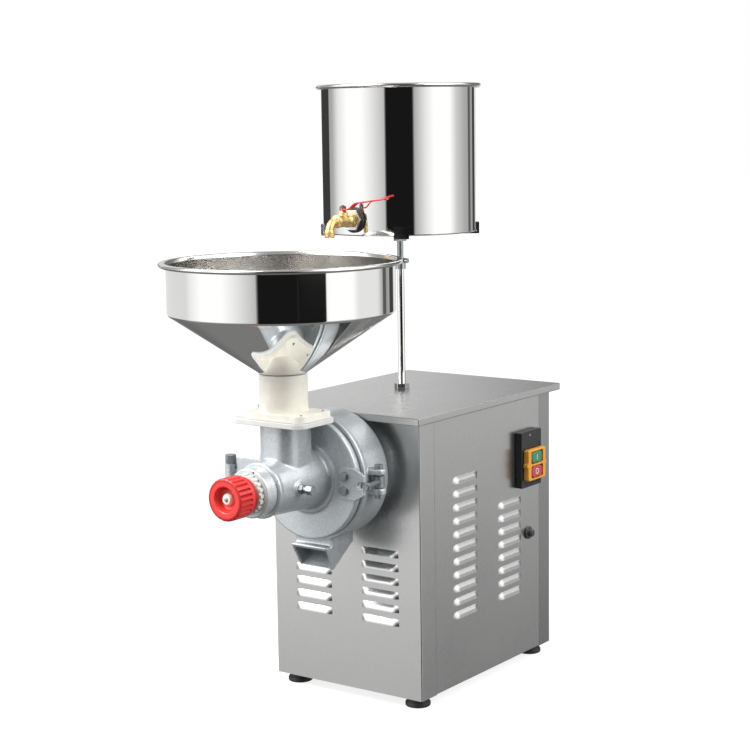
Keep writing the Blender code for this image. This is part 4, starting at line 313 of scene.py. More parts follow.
def make_floor():
    """A large pale sheet that glows softly where the camera sees it, so that it joins the backdrop."""
    mesh = bpy.data.meshes.new("studio_floor")
    shape = bmesh.new()
    bmesh.ops.create_grid(shape, x_segments=2, y_segments=2, size=FLOOR_SIZE / 2)
    shape.to_mesh(mesh)
    shape.free()
    floor = bpy.data.objects.new("studio_floor", mesh)
    bpy.context.scene.collection.objects.link(floor)
    paper = bpy.data.materials.new("studio_paper")
    paper.use_nodes = True
    tree = paper.node_tree
    tree.nodes.clear()
    place = add_node(tree, "ShaderNodeTexCoord", None, None, "Object")
    far = place.node("ShaderNodeVectorMath", {"operation": "LENGTH"}, {0: place}, "Value")
    camera_ray = add_node(tree, "ShaderNodeLightPath", None, None, "Is Camera Ray")
    clear_ray = add_node(tree, "ShaderNodeLightPath", None, None, "Is Transmission Ray")
    shown = camera_ray.math("MAXIMUM", clear_ray)
    matt = add_node(tree, "ShaderNodeBsdfDiffuse", None, {"Color": FLOOR_WHITE})
    glow = add_node(tree, "ShaderNodeEmission", None, {"Color": (1, 1, 1, 1), "Strength": PAPER_GLOW})
    share = FLOOR_GLOW_SHARE + (1 - FLOOR_GLOW_SHARE) * far.steps(*SHADOW_REACH)
    paper_look = add_node(tree, "ShaderNodeMixShader", None, {0: share, 1: matt, 2: glow})
    unseen = add_node(tree, "ShaderNodeBsdfTransparent", None, {"Color": (1, 1, 1, 1)})
    mixed = add_node(tree, "ShaderNodeMixShader", None, {0: shown, 1: unseen, 2: paper_look})
    add_node(tree, "ShaderNodeOutputMaterial", None, {"Surface": mixed})
    mesh.materials.append(paper)
    floor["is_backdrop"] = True


def add_lamp(name, off_camera, rise, distance, watts):
    """A soft square lamp that looks at the middle of the machine; both angles are in degrees."""
    lamp = bpy.data.lights.new(name, "AREA")
    lamp.size = LAMP_SIZE
    lamp.energy = watts
    turn, lift = CAMERA_TURN - pi / 2 + radians(off_camera), radians(rise)
    way = Vector((cos(turn) * cos(lift), sin(turn) * cos(lift), sin(lift)))
    holder = bpy.data.objects.new(name, lamp)
    holder.location = LAMP_TARGET + distance * way
    holder.rotation_mode = "QUATERNION"
    holder.rotation_quaternion = way.to_track_quat("Z", "Y")
    bpy.context.scene.collection.objects.link(holder)


make_floor()
for lamp_name, lamp_values in LAMPS.items():
    add_lamp(lamp_name, *lamp_values)
print("floor ready, lamps:", *LAMPS)

# %% [markdown]
# ## Starting a material
#
# Each finish begins as a Principled shader with its constants on the shader's own sockets. What changes over
# the surface is then wired to colour, roughness or the normal only. Patterns read Object coordinates, which
# are metres here, so a scale of 400 means a grain of about 2.5 mm.

# %% A finish with its constants
FINISHES = {}


class Finish:
    """A Principled material, its Object coordinates and short ways to wire its surface."""

    def __init__(self, name, colour, roughness, metallic=0.0, **constants):
        self.material = bpy.data.materials.new(name)
        self.material.use_nodes = True
        self.tree = self.material.node_tree
        self.tree.nodes.clear()
        values = {"Base Color": (*colour, 1), "Roughness": roughness, "Metallic": metallic}
        values.update(constants)
        shader = add_node(self.tree, "ShaderNodeBsdfPrincipled", None, values)
        add_node(self.tree, "ShaderNodeOutputMaterial", None, {"Surface": shader})
        self.shader = shader.socket.node
        self.place = add_node(self.tree, "ShaderNodeTexCoord", None, None, "Object")
        self.material.diffuse_color = (*colour, 1)
        FINISHES[name] = self.material

    def wire(self, name, value):
        self.tree.links.new(value.socket, self.shader.inputs[name])

    def noise(self, scale, detail=2.0, roughness=0.5, place=None, output="Fac"):
        inputs = {"Vector": place or self.place, "Scale": scale, "Detail": detail, "Roughness": roughness}
        return add_node(self.tree, "ShaderNodeTexNoise", None, inputs, output)

    def cells(self, scale, feature="F1", place=None):
        inputs = {"Vector": place or self.place, "Scale": scale, "Randomness": 1.0}
        return add_node(self.tree, "ShaderNodeTexVoronoi", {"feature": feature}, inputs, "Distance")

    def bump(self, height, depth):
        """Dents the surface by height, where 1 is depth in metres."""
        inputs = {"Height": height, "Distance": depth, "Strength": 1.0}
        self.wire("Normal", add_node(self.tree, "ShaderNodeBump", None, inputs))

    def colour_between(self, mask, first, second):
        """The first colour where the mask is 0, the second where it is 1."""
        self.wire("Base Color", mask.between((*first, 1), (*second, 1)))


print("finish class ready")

# %% [markdown]
# ## Satin sheet for the cabinet
#
# Cabinet sheet is rolled and lightly brushed, then wiped by many hands. The grain is a noise stretched a
# hundredfold along one direction, far too fine to see from a distance but enough to blur the reflections.
# Larger, slower noise varies the roughness, as finger marks and polish do.

# %% Satin stainless sheet
SATIN = (0.540, 0.540, 0.536)
SATIN_LIGHT = (0.575, 0.575, 0.570)


def toned(colour, tone):
    return tuple(tone * value for value in colour)


def satin_sheet(name, grain, tone=1.0):
    """Brushed sheet whose grain runs along the axis with the smallest scale; a tone below 1 makes a darker copy,
    as painted shade.
    """
    finish = Finish(name, SATIN, 0.27, 1.0)
    grained = finish.place.scaled(grain)
    lines = finish.noise(1.0, 3.0, 0.6, grained)
    cloud = finish.noise(5.0, 3.0, 0.5)
    smear = finish.noise(26.0, 2.0, 0.5)
    finish.colour_between(cloud * 0.7 + lines * 0.3, toned(SATIN, tone), toned(SATIN_LIGHT, tone))
    finish.wire("Roughness", 0.20 + 0.07 * cloud + 0.05 * smear + 0.04 * lines)
    finish.bump(lines, 0.000003)
    return finish.material


satin_upright = satin_sheet("satin_upright", (2600, 2600, 30))
satin_flat = satin_sheet("satin_flat", (2600, 30, 2600))
# The rear panel's copy below is darkened to 0.72 of the sheet: painted shade, a shaded copy of the same satin
# sheet.
satin_painted_shade = satin_sheet("satin_painted_shade", (2600, 2600, 30), 0.72)
print("satin sheet ready")

# %% [markdown]
# ## Mirror steel and plain steel
#
# Hopper and tank are spun and buffed to a mirror: almost no roughness, and faint rings left by the lathe.
# Their insides are only sanded, so a second finish with rings and more roughness goes on the inner faces.
# Bolts, shafts, rod and cradle have a machined grain instead, each with its own gloss and stains.

# %% Polished, sanded and plain steel
def spun_steel(name, colour, roughness, ring_depth):
    """Steel turned round an upright axis, with faint rings at heights."""
    finish = Finish(name, colour, roughness, 1.0)
    rings = finish.noise(1.0, 3.0, 0.6, finish.place.scaled((6, 6, 1400)))
    haze = finish.noise(9.0, 3.0, 0.55)
    finish.wire("Roughness", roughness * (0.7 + 0.7 * haze))
    finish.bump(rings, ring_depth)
    return finish.material


def machined_steel(name, colour, roughness):
    finish = Finish(name, colour, roughness, 1.0)
    grain = finish.noise(900.0, 3.0, 0.6)
    stain = finish.noise(60.0, 3.0, 0.6)
    finish.colour_between(stain.steps(0.35, 0.75), toned(colour, 0.72), colour)
    finish.wire("Roughness", roughness + 0.16 * stain * grain)
    finish.bump(grain, 0.00002)
    return finish.material


polished = spun_steel("polished_sheet", (0.80, 0.80, 0.79), 0.035, 0.0000003)
sanded = spun_steel("sanded_sheet", (0.61, 0.60, 0.575), 0.17, 0.0000003)
bright_steel = machined_steel("bright_steel", (0.46, 0.48, 0.50), 0.30)
dull_steel = machined_steel("dull_steel", (0.40, 0.42, 0.44), 0.44)
bent_steel = machined_steel("bent_steel", (0.52, 0.54, 0.55), 0.10)
dark_iron = machined_steel("dark_iron", (0.20, 0.20, 0.21), 0.38)
nickel = machined_steel("nickel_plate", (0.88, 0.84, 0.78), 0.30)
print("steels ready")

# %% [markdown]
# ## Hammered paint on the castings
#
# Cheap castings are hidden under hammer paint: aluminium flake in a thick varnish that shrinks into pebbles.
# Voronoi cells give the pebbles, a noise bends them so that no two are alike, and a slower noise adds the
# waviness of the sand mould below. The flake makes the paint half metallic, so it shows the studio softly.

# %% Grey hammer paint
PAINT = (0.54, 0.575, 0.590)
PAINT_PIT = (0.44, 0.475, 0.490)
# The lighter paint colour below is painted light: a lit copy of PAINT for the adjuster sleeve.
LIT_PAINT = (0.63, 0.655, 0.665)


def hammer_paint(name, colour, pit):
    finish = Finish(name, colour, 0.30, 0.50, **{"Coat Roughness": 0.18, "Coat Weight": 0.25})
    bend = finish.noise(140.0, 2.0, 0.5, output="Color").shifted((0.5, 0.5, 0.5)).scaled((0.0035,) * 3)
    pebbles = finish.cells(330.0, "SMOOTH_F1", finish.place.moved(bend))
    mould = finish.noise(55.0, 3.0, 0.5)
    finish.colour_between((pebbles * 1.1 + mould * 0.35).steps(0.15, 0.95), pit, colour)
    finish.wire("Roughness", 0.24 + 0.14 * pebbles + 0.08 * mould)
    finish.bump(pebbles * 0.8 + mould * 1.6, 0.00022)
    return finish.material


cast_paint = hammer_paint("hammer_paint", PAINT, PAINT_PIT)
# The adjuster sleeve's copy below is lighter: painted light, a lit copy of the same hammer paint for the sleeve's
# brighter look.
lit_paint = hammer_paint("lit_hammer_paint", LIT_PAINT, PAINT)
print("paint ready")

# %% [markdown]
# ## Plastics, rubber, brass and the hidden stones
#
# Moulded plastic is never perfectly even: it has a whisper of orange peel and duller patches where it was
# handled. One function makes all of them from a colour, a gloss and the depth of that texture. Rubber and
# grindstone are the same idea with a coarser grain, and brass is a metal with a cast skin.

# %% Plastics and the rest
def moulded(name, colour, roughness, peel=0.00003, scale=420.0, **constants):
    """Plastic with a faint texture and handled, duller patches."""
    finish = Finish(name, colour, roughness, 0.0, **constants)
    skin = finish.noise(scale, 2.0, 0.5)
    patches = finish.noise(38.0, 3.0, 0.55)
    finish.colour_between(patches.steps(0.25, 0.75), toned(colour, 0.86), colour)
    finish.wire("Roughness", roughness + 0.12 * patches + 0.05 * skin)
    finish.bump(skin, peel)
    return finish.material


def bonded_stone():
    finish = Finish("bonded_stone", (0.50, 0.48, 0.45), 0.85)
    grit = finish.cells(900.0)
    fleck = finish.noise(500.0, 3.0, 0.6)
    finish.colour_between(fleck.steps(0.35, 0.7), (0.34, 0.33, 0.31), (0.62, 0.60, 0.56))
    finish.bump(grit + fleck * 0.5, 0.0003)
    return finish.material


def cast_brass():
    finish = Finish("cast_brass", (0.83, 0.60, 0.27), 0.40, 1.0)
    skin = finish.noise(260.0, 3.0, 0.55)
    tarnish = finish.noise(70.0, 3.0, 0.6)
    finish.colour_between(tarnish.steps(0.3, 0.7), (0.50, 0.34, 0.13), (0.72, 0.53, 0.24))
    finish.wire("Roughness", 0.40 + 0.12 * tarnish)
    finish.bump(skin, 0.00004)
    return finish.material


cream = moulded("cream_nylon", (0.92, 0.89, 0.79), 0.34, 0.00004, 300.0, **{"Subsurface Weight": 0.06})
ivory = moulded("ivory_hub", (0.82, 0.78, 0.66), 0.32)
green = moulded("green_button_plastic", (0.055, 0.235, 0.125), 0.24)
button_red = moulded("red_button_plastic", (0.50, 0.055, 0.060), 0.24)
button_mark = moulded("button_mark", (0.72, 0.72, 0.70), 0.4)
yellow = moulded("yellow_guard_plastic", (0.80, 0.36, 0.040), 0.28)
black = moulded("black_switch_plastic", (0.020, 0.021, 0.023), 0.36, 0.00005, 700.0)
lock_black = moulded("black_lock_metal", (0.055, 0.055, 0.052), 0.22, 0.00002)
rubber = moulded("black_rubber", (0.022, 0.022, 0.022), 0.55, 0.00012, 260.0)
dipped_red = moulded("red_dipped_coat", (0.62, 0.030, 0.028), 0.22, 0.00012, 150.0)
motor_paint = moulded("blue_motor_enamel", (0.06, 0.10, 0.16), 0.34, 0.00005, 200.0)
flange_white = moulded("pale_flange", (0.74, 0.74, 0.72), 0.30)
ring_metal = moulded("ring_metal", (0.72, 0.71, 0.68), 0.34)
stone = bonded_stone()
brass = cast_brass()
print(len(FINISHES), "finishes")

# %% [markdown]
# ## Hanging a finished mesh on the machine
#
# A dressed piece takes its finish, rides on the body that carries the plain solid, and hides that solid.
# The record knows the body by the node's name, so one short function does it for every piece.

# %% Put a piece in place
SHARP_ANGLE = 38
ALL_SMOOTH = 180


def add_piece(name, mesh, materials, node, sharp=SHARP_ANGLE):
    """Gives a mesh its finish and hangs it on the body of the solid that it stands for."""
    for index, material in enumerate(materials if isinstance(materials, tuple) else (materials,)):
        if index == len(mesh.materials):
            mesh.materials.append(material)
        mesh.materials[index] = material
    mesh.shade_smooth()
    mesh.set_sharp_from_angle(angle=radians(sharp))
    if sharp < ALL_SMOOTH:
        holder = holder_of(mesh)
        even = holder.modifiers.new("large faces stay flat", "WEIGHTED_NORMAL")
        even.keep_sharp = True
        mesh = finished(holder)
    mesh.name = name
    piece = bpy.data.objects.new(name, mesh)
    bpy.context.scene.collection.objects.link(piece)
    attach(piece, body_of[node])
    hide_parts(node)
    print(name, len(mesh.polygons), "faces")


def mesh_of(shape):
    mesh = bpy.data.meshes.new("shape")
    shape.to_mesh(mesh)
    shape.free()
    return mesh


def holder_of(mesh):
    """An object for a mesh that still needs modifiers."""
    holder = bpy.data.objects.new("holder", mesh)
    bpy.context.scene.collection.objects.link(holder)
    return holder


def finished(holder):
    """The plain mesh that an object's modifiers make; the object itself is removed."""
    bpy.context.view_layer.update()
    seen = holder.evaluated_get(bpy.context.evaluated_depsgraph_get())
    mesh = bpy.data.meshes.new_from_object(seen)
    bpy.data.objects.remove(holder, do_unlink=True)
    return mesh


def add_bevel(holder, width, segments, angle):
    """Rounds every edge that is sharper than the angle in degrees."""
    bevel = holder.modifiers.new("broken edges", "BEVEL")
    bevel.width = width
    bevel.segments = segments
    bevel.angle_limit = radians(angle)


def joined(*meshes, finish_by_part=False):
    """One mesh that holds several bodies; each may keep a finish of its own."""
    shape = bmesh.new()
    for number, mesh in enumerate(meshes):
        known = len(shape.faces)
        shape.from_mesh(mesh)
        shape.faces.ensure_lookup_table()
        for face in shape.faces[known:] if finish_by_part else ():
            face.material_index = number
    return mesh_of(shape)


print("helpers ready")

# %% [markdown]
# ## Turned shapes with real edges
#
# Drum, cover, tank, hopper, wheel and feet are all turned. Their profile is a few corners, and each corner
# has a fillet radius of its own, because a lathe tool, a mould or a roller never leaves a sharp edge.
# The fillet is worked out once, in two dimensions, and then the whole outline is swept round the axis.

# %% Fillets and the lathe
FILLET_STEPS = 5
TURN_SIDES = 112


def filleted(corners, closed=True, steps=FILLET_STEPS):
    """Rounds the corners (x, y, radius) of an outline and returns its points."""
    points = []
    for index, (x, y, radius) in enumerate(corners):
        corner = Vector((x, y))
        is_end = not closed and index in (0, len(corners) - 1)
        if radius == 0 or is_end:
            points.append(corner)
            continue
        before = Vector(corners[index - 1][:2]) - corner
        after = Vector(corners[(index + 1) % len(corners)][:2]) - corner
        half = before.angle(after) / 2
        reach = min(radius / tan(half), 0.49 * before.length, 0.49 * after.length)
        bow = reach * tan(half)
        middle = corner + (before.normalized() + after.normalized()).normalized() * (bow / sin(half))
        first = corner + before.normalized() * reach - middle
        sweep = first.angle_signed(corner + after.normalized() * reach - middle)
        for step in range(steps + 1):
            turn = Matrix.Rotation(-sweep * step / steps, 2)
            points.append(middle + turn @ first)
    return points


def rounded_rectangle(low, high, corner, steps=FILLET_STEPS):
    corners = (low[0], low[1]), (high[0], low[1]), (high[0], high[1]), (low[0], high[1])
    return filleted([(x, y, corner) for x, y in corners], steps=steps)


def facing(place, axis):
    """A matrix that moves local Z onto an axis through a place."""
    return Matrix.Translation(place) @ Vector(axis).to_track_quat("Z", "Y").to_matrix().to_4x4()


FORWARD, BACKWARD, RIGHTWARD, UPWARD = (0, -1, 0), (0, 1, 0), (1, 0, 0), (0, 0, 1)


def turned(points, sides, closed=False):
    """Sweeps points (radius, distance) round Z; a ring of radius 0 is a single point."""
    shape = bmesh.new()
    turns = [2 * pi * side / sides for side in range(sides)]
    rings = []
    for radius, along in points:
        if radius < GAP / 10:
            rings.append([shape.verts.new((0, 0, along))] * sides)
        else:
            rings.append([shape.verts.new((radius * cos(turn), radius * sin(turn), along)) for turn in turns])
    for low, high in list(zip(rings, rings[1:])) + ([(rings[-1], rings[0])] if closed else []):
        for side in range(sides):
            corners_used = list(dict.fromkeys((low[side - 1], low[side], high[side], high[side - 1])))
            if len(corners_used) > 2:
                shape.faces.new(corners_used)
    return shape


def lathe(corners, place, axis=UPWARD, sides=TURN_SIDES, closed=False):
    """Turns corners (radius, distance, fillet) round an axis; an open outline starts and ends on it."""
    shape = turned(filleted(corners, closed), sides, closed)
    bmesh.ops.recalc_face_normals(shape, faces=shape.faces)
    shape.transform(facing(place, axis))
    return mesh_of(shape)


def rod(radius, start, end, place, axis=UPWARD, sides=48):
    """A plain cylinder between two distances along an axis: most of them drill a hole."""
    return lathe([(0, start, 0), (radius, start, 0), (radius, end, 0), (0, end, 0)], place, axis, sides)


print("lathe ready")

# %% [markdown]
# ## Softening the construction's own solids
#
# Many pieces have the right shape already and lack only the broken edge that catches the light. A copy of the
# solid is merged first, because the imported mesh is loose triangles, its flat faces are dissolved to single
# polygons, and a Bevel modifier then rounds every edge sharper than thirty degrees.

# %% Refine a copy of a solid
MERGE = GAP / 30
FLAT_WITHIN = radians(0.4)
SOFTENED_ANGLE = 30


def refined_mesh(node, edge, segments):
    shape = bmesh.new()
    shape.from_mesh(frame["nodes"][node].data)
    bmesh.ops.remove_doubles(shape, verts=shape.verts, dist=MERGE)
    bmesh.ops.dissolve_limit(shape, angle_limit=FLAT_WITHIN, verts=shape.verts, edges=shape.edges)
    holder = holder_of(mesh_of(shape))
    add_bevel(holder, edge, segments, SOFTENED_ANGLE)
    return finished(holder)


def refine(material, edge, *nodes, segments=2):
    for node in nodes:
        add_piece(node + "_finished", refined_mesh(node, edge, segments), material, node)


refine(satin_upright, 0.0004, "left_panel", "base_plate")
# The rear panel takes the darker, shaded copy of the satin sheet: painted shade.
refine(satin_painted_shade, 0.0004, "rear_panel")
refine(satin_flat, 0.0007, "top_lid", segments=3)
refine(dull_steel, 0.0005, "hinge_bolt_1", "hinge_bolt_2", "clamp_bolt_1", "clamp_bolt_2", "side_lock_bolt",
       "side_lock_nut", "hinge_pin", "latch_pin", "swing_bolt", "latch_nut")
refine(bright_steel, 0.0006, "door_hinge", "spindle", "motor_shaft", "feed_screw", "thrust_pin")
refine(cast_paint, 0.0012, "hinge_leaf", "hinge_bracket", "clamp_plate", "bearing_block", segments=3)
refine(motor_paint, 0.0010, "motor")
refine(dark_iron, 0.0004, "motor_pulley", "spindle_pulley")
refine(rubber, 0.0004, "drive_belt", "cable_gland", "chamber_gasket")
refine(stone, 0.0005, "rotor_stone", "stator_stone")

# %% [markdown]
# ## Pressed louvres with Geometry Nodes
#
# A press cuts the sheet along one line and pushes a hood outwards from it, so every louvre is the same shape:
# deepest at its open lower edge, fading into the sheet above and at both ends. That shape is a formula, which
# Geometry Nodes applies to a flat grid; the hood is given the sheet's thickness and repeated on the points of
# the modifier's own mesh. Thirty-one hoods then cost one formula.

# %% The louvre tree
LOUVRE = {"Length": 0.072, "Height": 0.0115, "Depth": 0.0052, "End": 0.013, "Wall": 0.0012}
LOUVRE_PITCH = 0.0218
LOUVRE_SINK = 0.0002
ROOF_POWER = 1.15


def new_tree(name, inputs):
    """An empty geometry tree with named inputs, and its input node."""
    tree = bpy.data.node_groups.new(name, "GeometryNodeTree")
    tree.interface.new_socket("Geometry", in_out="INPUT", socket_type="NodeSocketGeometry")
    for label, value in inputs.items():
        kind = "NodeSocketInt" if isinstance(value, int) else "NodeSocketFloat"
        tree.interface.new_socket(label, in_out="INPUT", socket_type=kind).default_value = value
    tree.interface.new_socket("Material", in_out="INPUT", socket_type="NodeSocketMaterial")
    tree.interface.new_socket("Geometry", in_out="OUTPUT", socket_type="NodeSocketGeometry")
    return tree, tree.nodes.new("NodeGroupInput")


def given(tree, entry, label):
    return Wire(tree, entry.outputs[label])


def end_tree(tree, entry, geometry):
    """Every tree ends the same way: real geometry with its material."""
    real = add_node(tree, "GeometryNodeRealizeInstances", None, {"Geometry": geometry})
    inputs = {"Geometry": real, "Material": given(tree, entry, "Material")}
    dressed = add_node(tree, "GeometryNodeSetMaterial", None, inputs)
    way_out = tree.nodes.new("NodeGroupOutput")
    tree.links.new(dressed.socket, way_out.inputs["Geometry"])


def louvre_tree():
    tree, entry = new_tree("pressed_louvres", LOUVRE)
    length, height, depth, end, wall = (given(tree, entry, label) for label in LOUVRE)
    sizes = {"Size X": length, "Size Y": height, "Vertices X": 49, "Vertices Y": 13}
    grid = add_node(tree, "GeometryNodeMeshGrid", None, sizes)
    where = add_node(tree, "GeometryNodeInputPosition")
    across, up = where.part(0), where.part(1)
    rise = (up / height + 0.5).math("MINIMUM", 1.0)
    beyond = (across.math("ABSOLUTE") - (length / 2 - end)) / end
    beyond = beyond.math("MAXIMUM", 0.0).math("MINIMUM", 1.0)
    roof = (1 - rise * rise) ** ROOF_POWER
    ends = (1 - beyond * beyond) ** ROOF_POWER
    lift = add_node(tree, "ShaderNodeCombineXYZ", None, {2: depth * roof * ends})
    hood = add_node(tree, "GeometryNodeSetPosition", None, {"Geometry": grid, "Offset": lift})
    down = add_node(tree, "ShaderNodeCombineXYZ", None, {2: wall * -1})
    inner = add_node(tree, "GeometryNodeTransform", None, {"Geometry": hood, "Translation": down})
    drawn = {"Mesh": inner, "Offset": add_node(tree, "ShaderNodeCombineXYZ", None, {2: wall}),
             "Offset Scale": 1.0, "Individual": False}
    sides = add_node(tree, "GeometryNodeExtrudeMesh", {"mode": "FACES"}, drawn)
    floor = add_node(tree, "GeometryNodeFlipFaces", None, {"Mesh": inner})
    join = tree.nodes.new("GeometryNodeJoinGeometry")
    tree.links.new(sides.socket, join.inputs[0])
    tree.links.new(floor.socket, join.inputs[0])
    walls = {"Geometry": Wire(tree, join.outputs[0]), "Distance": MERGE}
    shell = add_node(tree, "GeometryNodeMergeByDistance", None, walls)
    copies = {"Points": given(tree, entry, "Geometry"), "Instance": shell}
    end_tree(tree, entry, add_node(tree, "GeometryNodeInstanceOnPoints", None, copies))
    return tree


def run_tree(tree, mesh, material, **values):
    """Runs a tree on a mesh and returns the plain mesh; inputs are set by identifier before the first use."""
    holder = holder_of(mesh)
    modifier = holder.modifiers.new("repeat", "NODES")
    modifier.node_group = tree
    for item in tree.interface.items_tree:
        if item.in_out == "INPUT" and item.name in values:
            modifier[item.identifier] = values[item.name]
        if item.in_out == "INPUT" and item.name == "Material":
            modifier[item.identifier] = material
    return finished(holder)


def points_mesh(places):
    shape = bmesh.new()
    for place in places:
        shape.verts.new(place)
    return mesh_of(shape)


LOUVRES = louvre_tree()
trial = run_tree(LOUVRES, points_mesh([(0, 0, 0)]), satin_upright)
print("one hood:", len(trial.polygons), "faces")

# %% [markdown]
# ## The two sheets that carry louvres
#
# The front panel is one sheet folded round the front right corner, the door a flat sheet between the folds.
# Each is drawn as the outline of its section seen from above, with the fold as an arc, and extruded upwards.
# A window is cut where a hood will stand, and the hoods are laid over the windows, sunk a hair into the face.

# %% Front panel and side door
FOLD = 0.0022
FRONT_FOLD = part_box("side_door")[0].y - FRONT
LOUVRE_MIDDLE = (LEFT + RIGHT) / 2
FRONT_COLUMNS = ((-0.0652, 6), (0.0652, 6))
FRONT_LOUVRE_LOW = PANEL_LOW + 0.1141
DOOR_LOUVRE_LOW = PANEL_LOW + 0.110
DOOR_LOW, DOOR_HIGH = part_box("side_door")
DOOR_WIDTH = DOOR_HIGH.y - DOOR_LOW.y
DOOR_COLUMNS = ((0.2714, 11), (0.6990, 8))
WINDOW_MARGIN = 0.0022
THROUGH = 4 * SHEET
HUB_HOLE, LOCK_HOLE = 0.020, 0.0083
HOOD_UPRIGHT = Matrix.Rotation(pi / 2, 4, "X")


def extruded(outline, thickness, matrix=None):
    """A flat outline of (x, y) points drawn along Z."""
    shape = bmesh.new()
    face = shape.faces.new([shape.verts.new((x, y, 0)) for x, y in outline])
    drawn = bmesh.ops.extrude_face_region(shape, geom=[face])["geom"]
    raised = [item for item in drawn if isinstance(item, bmesh.types.BMVert)]
    bmesh.ops.translate(shape, verts=raised, vec=(0, 0, thickness))
    bmesh.ops.recalc_face_normals(shape, faces=shape.faces)
    if matrix is not None:
        shape.transform(matrix)
    return mesh_of(shape)


def block(low, high):
    shape = bmesh.new()
    middle, size = (Vector(low) + Vector(high)) / 2, Vector(high) - Vector(low)
    bmesh.ops.create_cube(shape, size=1, matrix=Matrix.Translation(middle) @ Matrix.Diagonal((*size, 1)))
    return mesh_of(shape)


def combined(mesh, tools, operation, bevel=0, segments=2, angle=30):
    """Cuts tools from a mesh, or joins them to it, and then breaks the edges."""
    holder = holder_of(mesh)
    helpers = [holder_of(tool) for tool in tools]
    for helper in helpers:
        modifier = holder.modifiers.new("combine", "BOOLEAN")
        modifier.object = helper
        modifier.operation = operation
    if bevel:
        add_bevel(holder, bevel, segments, angle)
    made = finished(holder)
    for helper in helpers:
        bpy.data.objects.remove(helper, do_unlink=True)
    return made


def windows(places, facing_matrix):
    """One mesh of blocks, a little smaller than the hoods, that opens the sheet behind them."""
    half = LOUVRE["Length"] / 2 - 3 * WINDOW_MARGIN
    tall = LOUVRE["Height"] - WINDOW_MARGIN
    openings = joined(*[block((x - half, y, -THROUGH), (x + half, y + tall, THROUGH)) for x, y in places])
    openings.transform(facing_matrix)
    return openings


def louvred_sheet(name, sheet, places, facing_matrix, node, *tools):
    """A sheet with its windows cut and its hoods laid on."""
    cut_sheet = combined(sheet, [windows(places, facing_matrix), *tools], "DIFFERENCE")
    middles = [(x, y + LOUVRE["Height"] / 2, -LOUVRE_SINK) for x, y in places]
    hoods = run_tree(LOUVRES, points_mesh(middles), satin_upright)
    hoods.transform(facing_matrix)
    add_piece(name, joined(cut_sheet, hoods), satin_upright, node)


def column(across, low, rows):
    return [(across, low + LOUVRE_PITCH * row) for row in range(rows)]


fold_outline = filleted([(LEFT, FRONT, 0), (RIGHT, FRONT, FOLD), (RIGHT, FRONT + FRONT_FOLD, 0),
                         (RIGHT - SHEET, FRONT + FRONT_FOLD, 0), (RIGHT - SHEET, FRONT + SHEET, FOLD - SHEET),
                         (LEFT, FRONT + SHEET, 0)])
folded = extruded(fold_outline, PANEL_TOP - PANEL_LOW, Matrix.Translation((0, 0, PANEL_LOW)))
front_places = [place for across, rows in FRONT_COLUMNS
                for place in column(LOUVRE_MIDDLE + across, FRONT_LOUVRE_LOW, rows)]
hub_hole = rod(HUB_HOLE, -THROUGH, THROUGH, HEAD_AXIS, BACKWARD)
louvred_sheet("front_panel_pressed", folded, front_places, Matrix.Translation((0, FRONT, 0)) @ HOOD_UPRIGHT,
              "front_panel", hub_hole)

door_face = Matrix.Translation((RIGHT, DOOR_LOW.y, 0)) @ Matrix.Rotation(pi / 2, 4, "Z") @ HOOD_UPRIGHT
door_places = [place for share, rows in DOOR_COLUMNS
               for place in column(share * DOOR_WIDTH, DOOR_LOUVRE_LOW, rows)]
door_sheet = block((RIGHT - SHEET, DOOR_LOW.y, DOOR_LOW.z), (RIGHT, DOOR_HIGH.y, DOOR_HIGH.z))
LOCK_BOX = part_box("door_lock")
LOCK_AXIS = joints["door_lock_turn"]
lock_hole = rod(LOCK_HOLE, -THROUGH, THROUGH, (RIGHT, LOCK_AXIS.y, LOCK_AXIS.z), RIGHTWARD, 32)
louvred_sheet("side_door_pressed", door_sheet, door_places, door_face, "side_door", lock_hole)

# %% [markdown]
# ## Feet, lock and switch
#
# The feet are moulded rubber with a raised rim and a hollow for the screw. The cam lock is a small turned
# plug with a slot. The switch is a box with a bright guard: two windows for the buttons, and a raised tab on
# each side between them that keeps a sleeve from pressing the wrong one. Each button carries the sign used
# everywhere for on and off, a bar and a ring, made as thin raised shapes.

# %% Feet and lock
FOOT_HEIGHT = 0.016
for number in range(1, 5):
    low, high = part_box(f"foot_{number}")
    centre = ((low.x + high.x) / 2, (low.y + high.y) / 2, low.z)
    wide = (high.x - low.x) / 2
    foot = lathe([(0, 0.0016, 0), (0.0075, 0.0016, 0.0008), (0.0090, 0, 0.0004), (wide, 0, 0.0022),
                  (wide, 0.0062, 0.0016), (wide - 0.0021, 0.0080, 0.0008),
                  (0.0175, FOOT_HEIGHT - GAP, 0.0012), (0, FOOT_HEIGHT - GAP, 0)], centre, sides=72)
    add_piece(f"rubber_foot_{number}", foot, rubber, f"foot_{number}")


def make_lock():
    """A round plate, a plug with a screwdriver slot, and the cam behind the door."""
    head, knob, plate = 0.0105, 0.0062, 0.0035
    cam_back = RIGHT - LOCK_BOX[0].x
    face = (RIGHT + GAP, LOCK_AXIS.y, LOCK_AXIS.z)
    plug = lathe([(0, head, 0), (knob, head, 0.0014), (knob, plate, 0.0005), (0.0108, plate, 0.0013),
                  (0.0108, 0, 0.0003), (0.008, 0, 0), (0.008, -cam_back, 0.0004), (0, -cam_back, 0)],
                 face, RIGHTWARD, 64)
    slot = block((face[0] + head - 0.002, face[1] - 0.02, face[2] - 0.0012),
                 (face[0] + head + 0.002, face[1] + 0.02, face[2] + 0.0012))
    plug = combined(plug, [slot], "DIFFERENCE")
    cam = block((LOCK_BOX[0].x, face[1] - 0.004, face[2] - 0.007),
                (LOCK_BOX[0].x + 0.002, LOCK_BOX[1].y, face[2] + 0.007))
    plug = combined(plug, [cam], "UNION")
    add_piece("cam_lock", plug, lock_black, "door_lock")


make_lock()

# %% Switch
CASE_LOW, CASE_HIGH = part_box("switch_box")
GUARD_LOW, GUARD_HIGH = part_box("switch_guard")
TAB_LENGTH = 0.0105


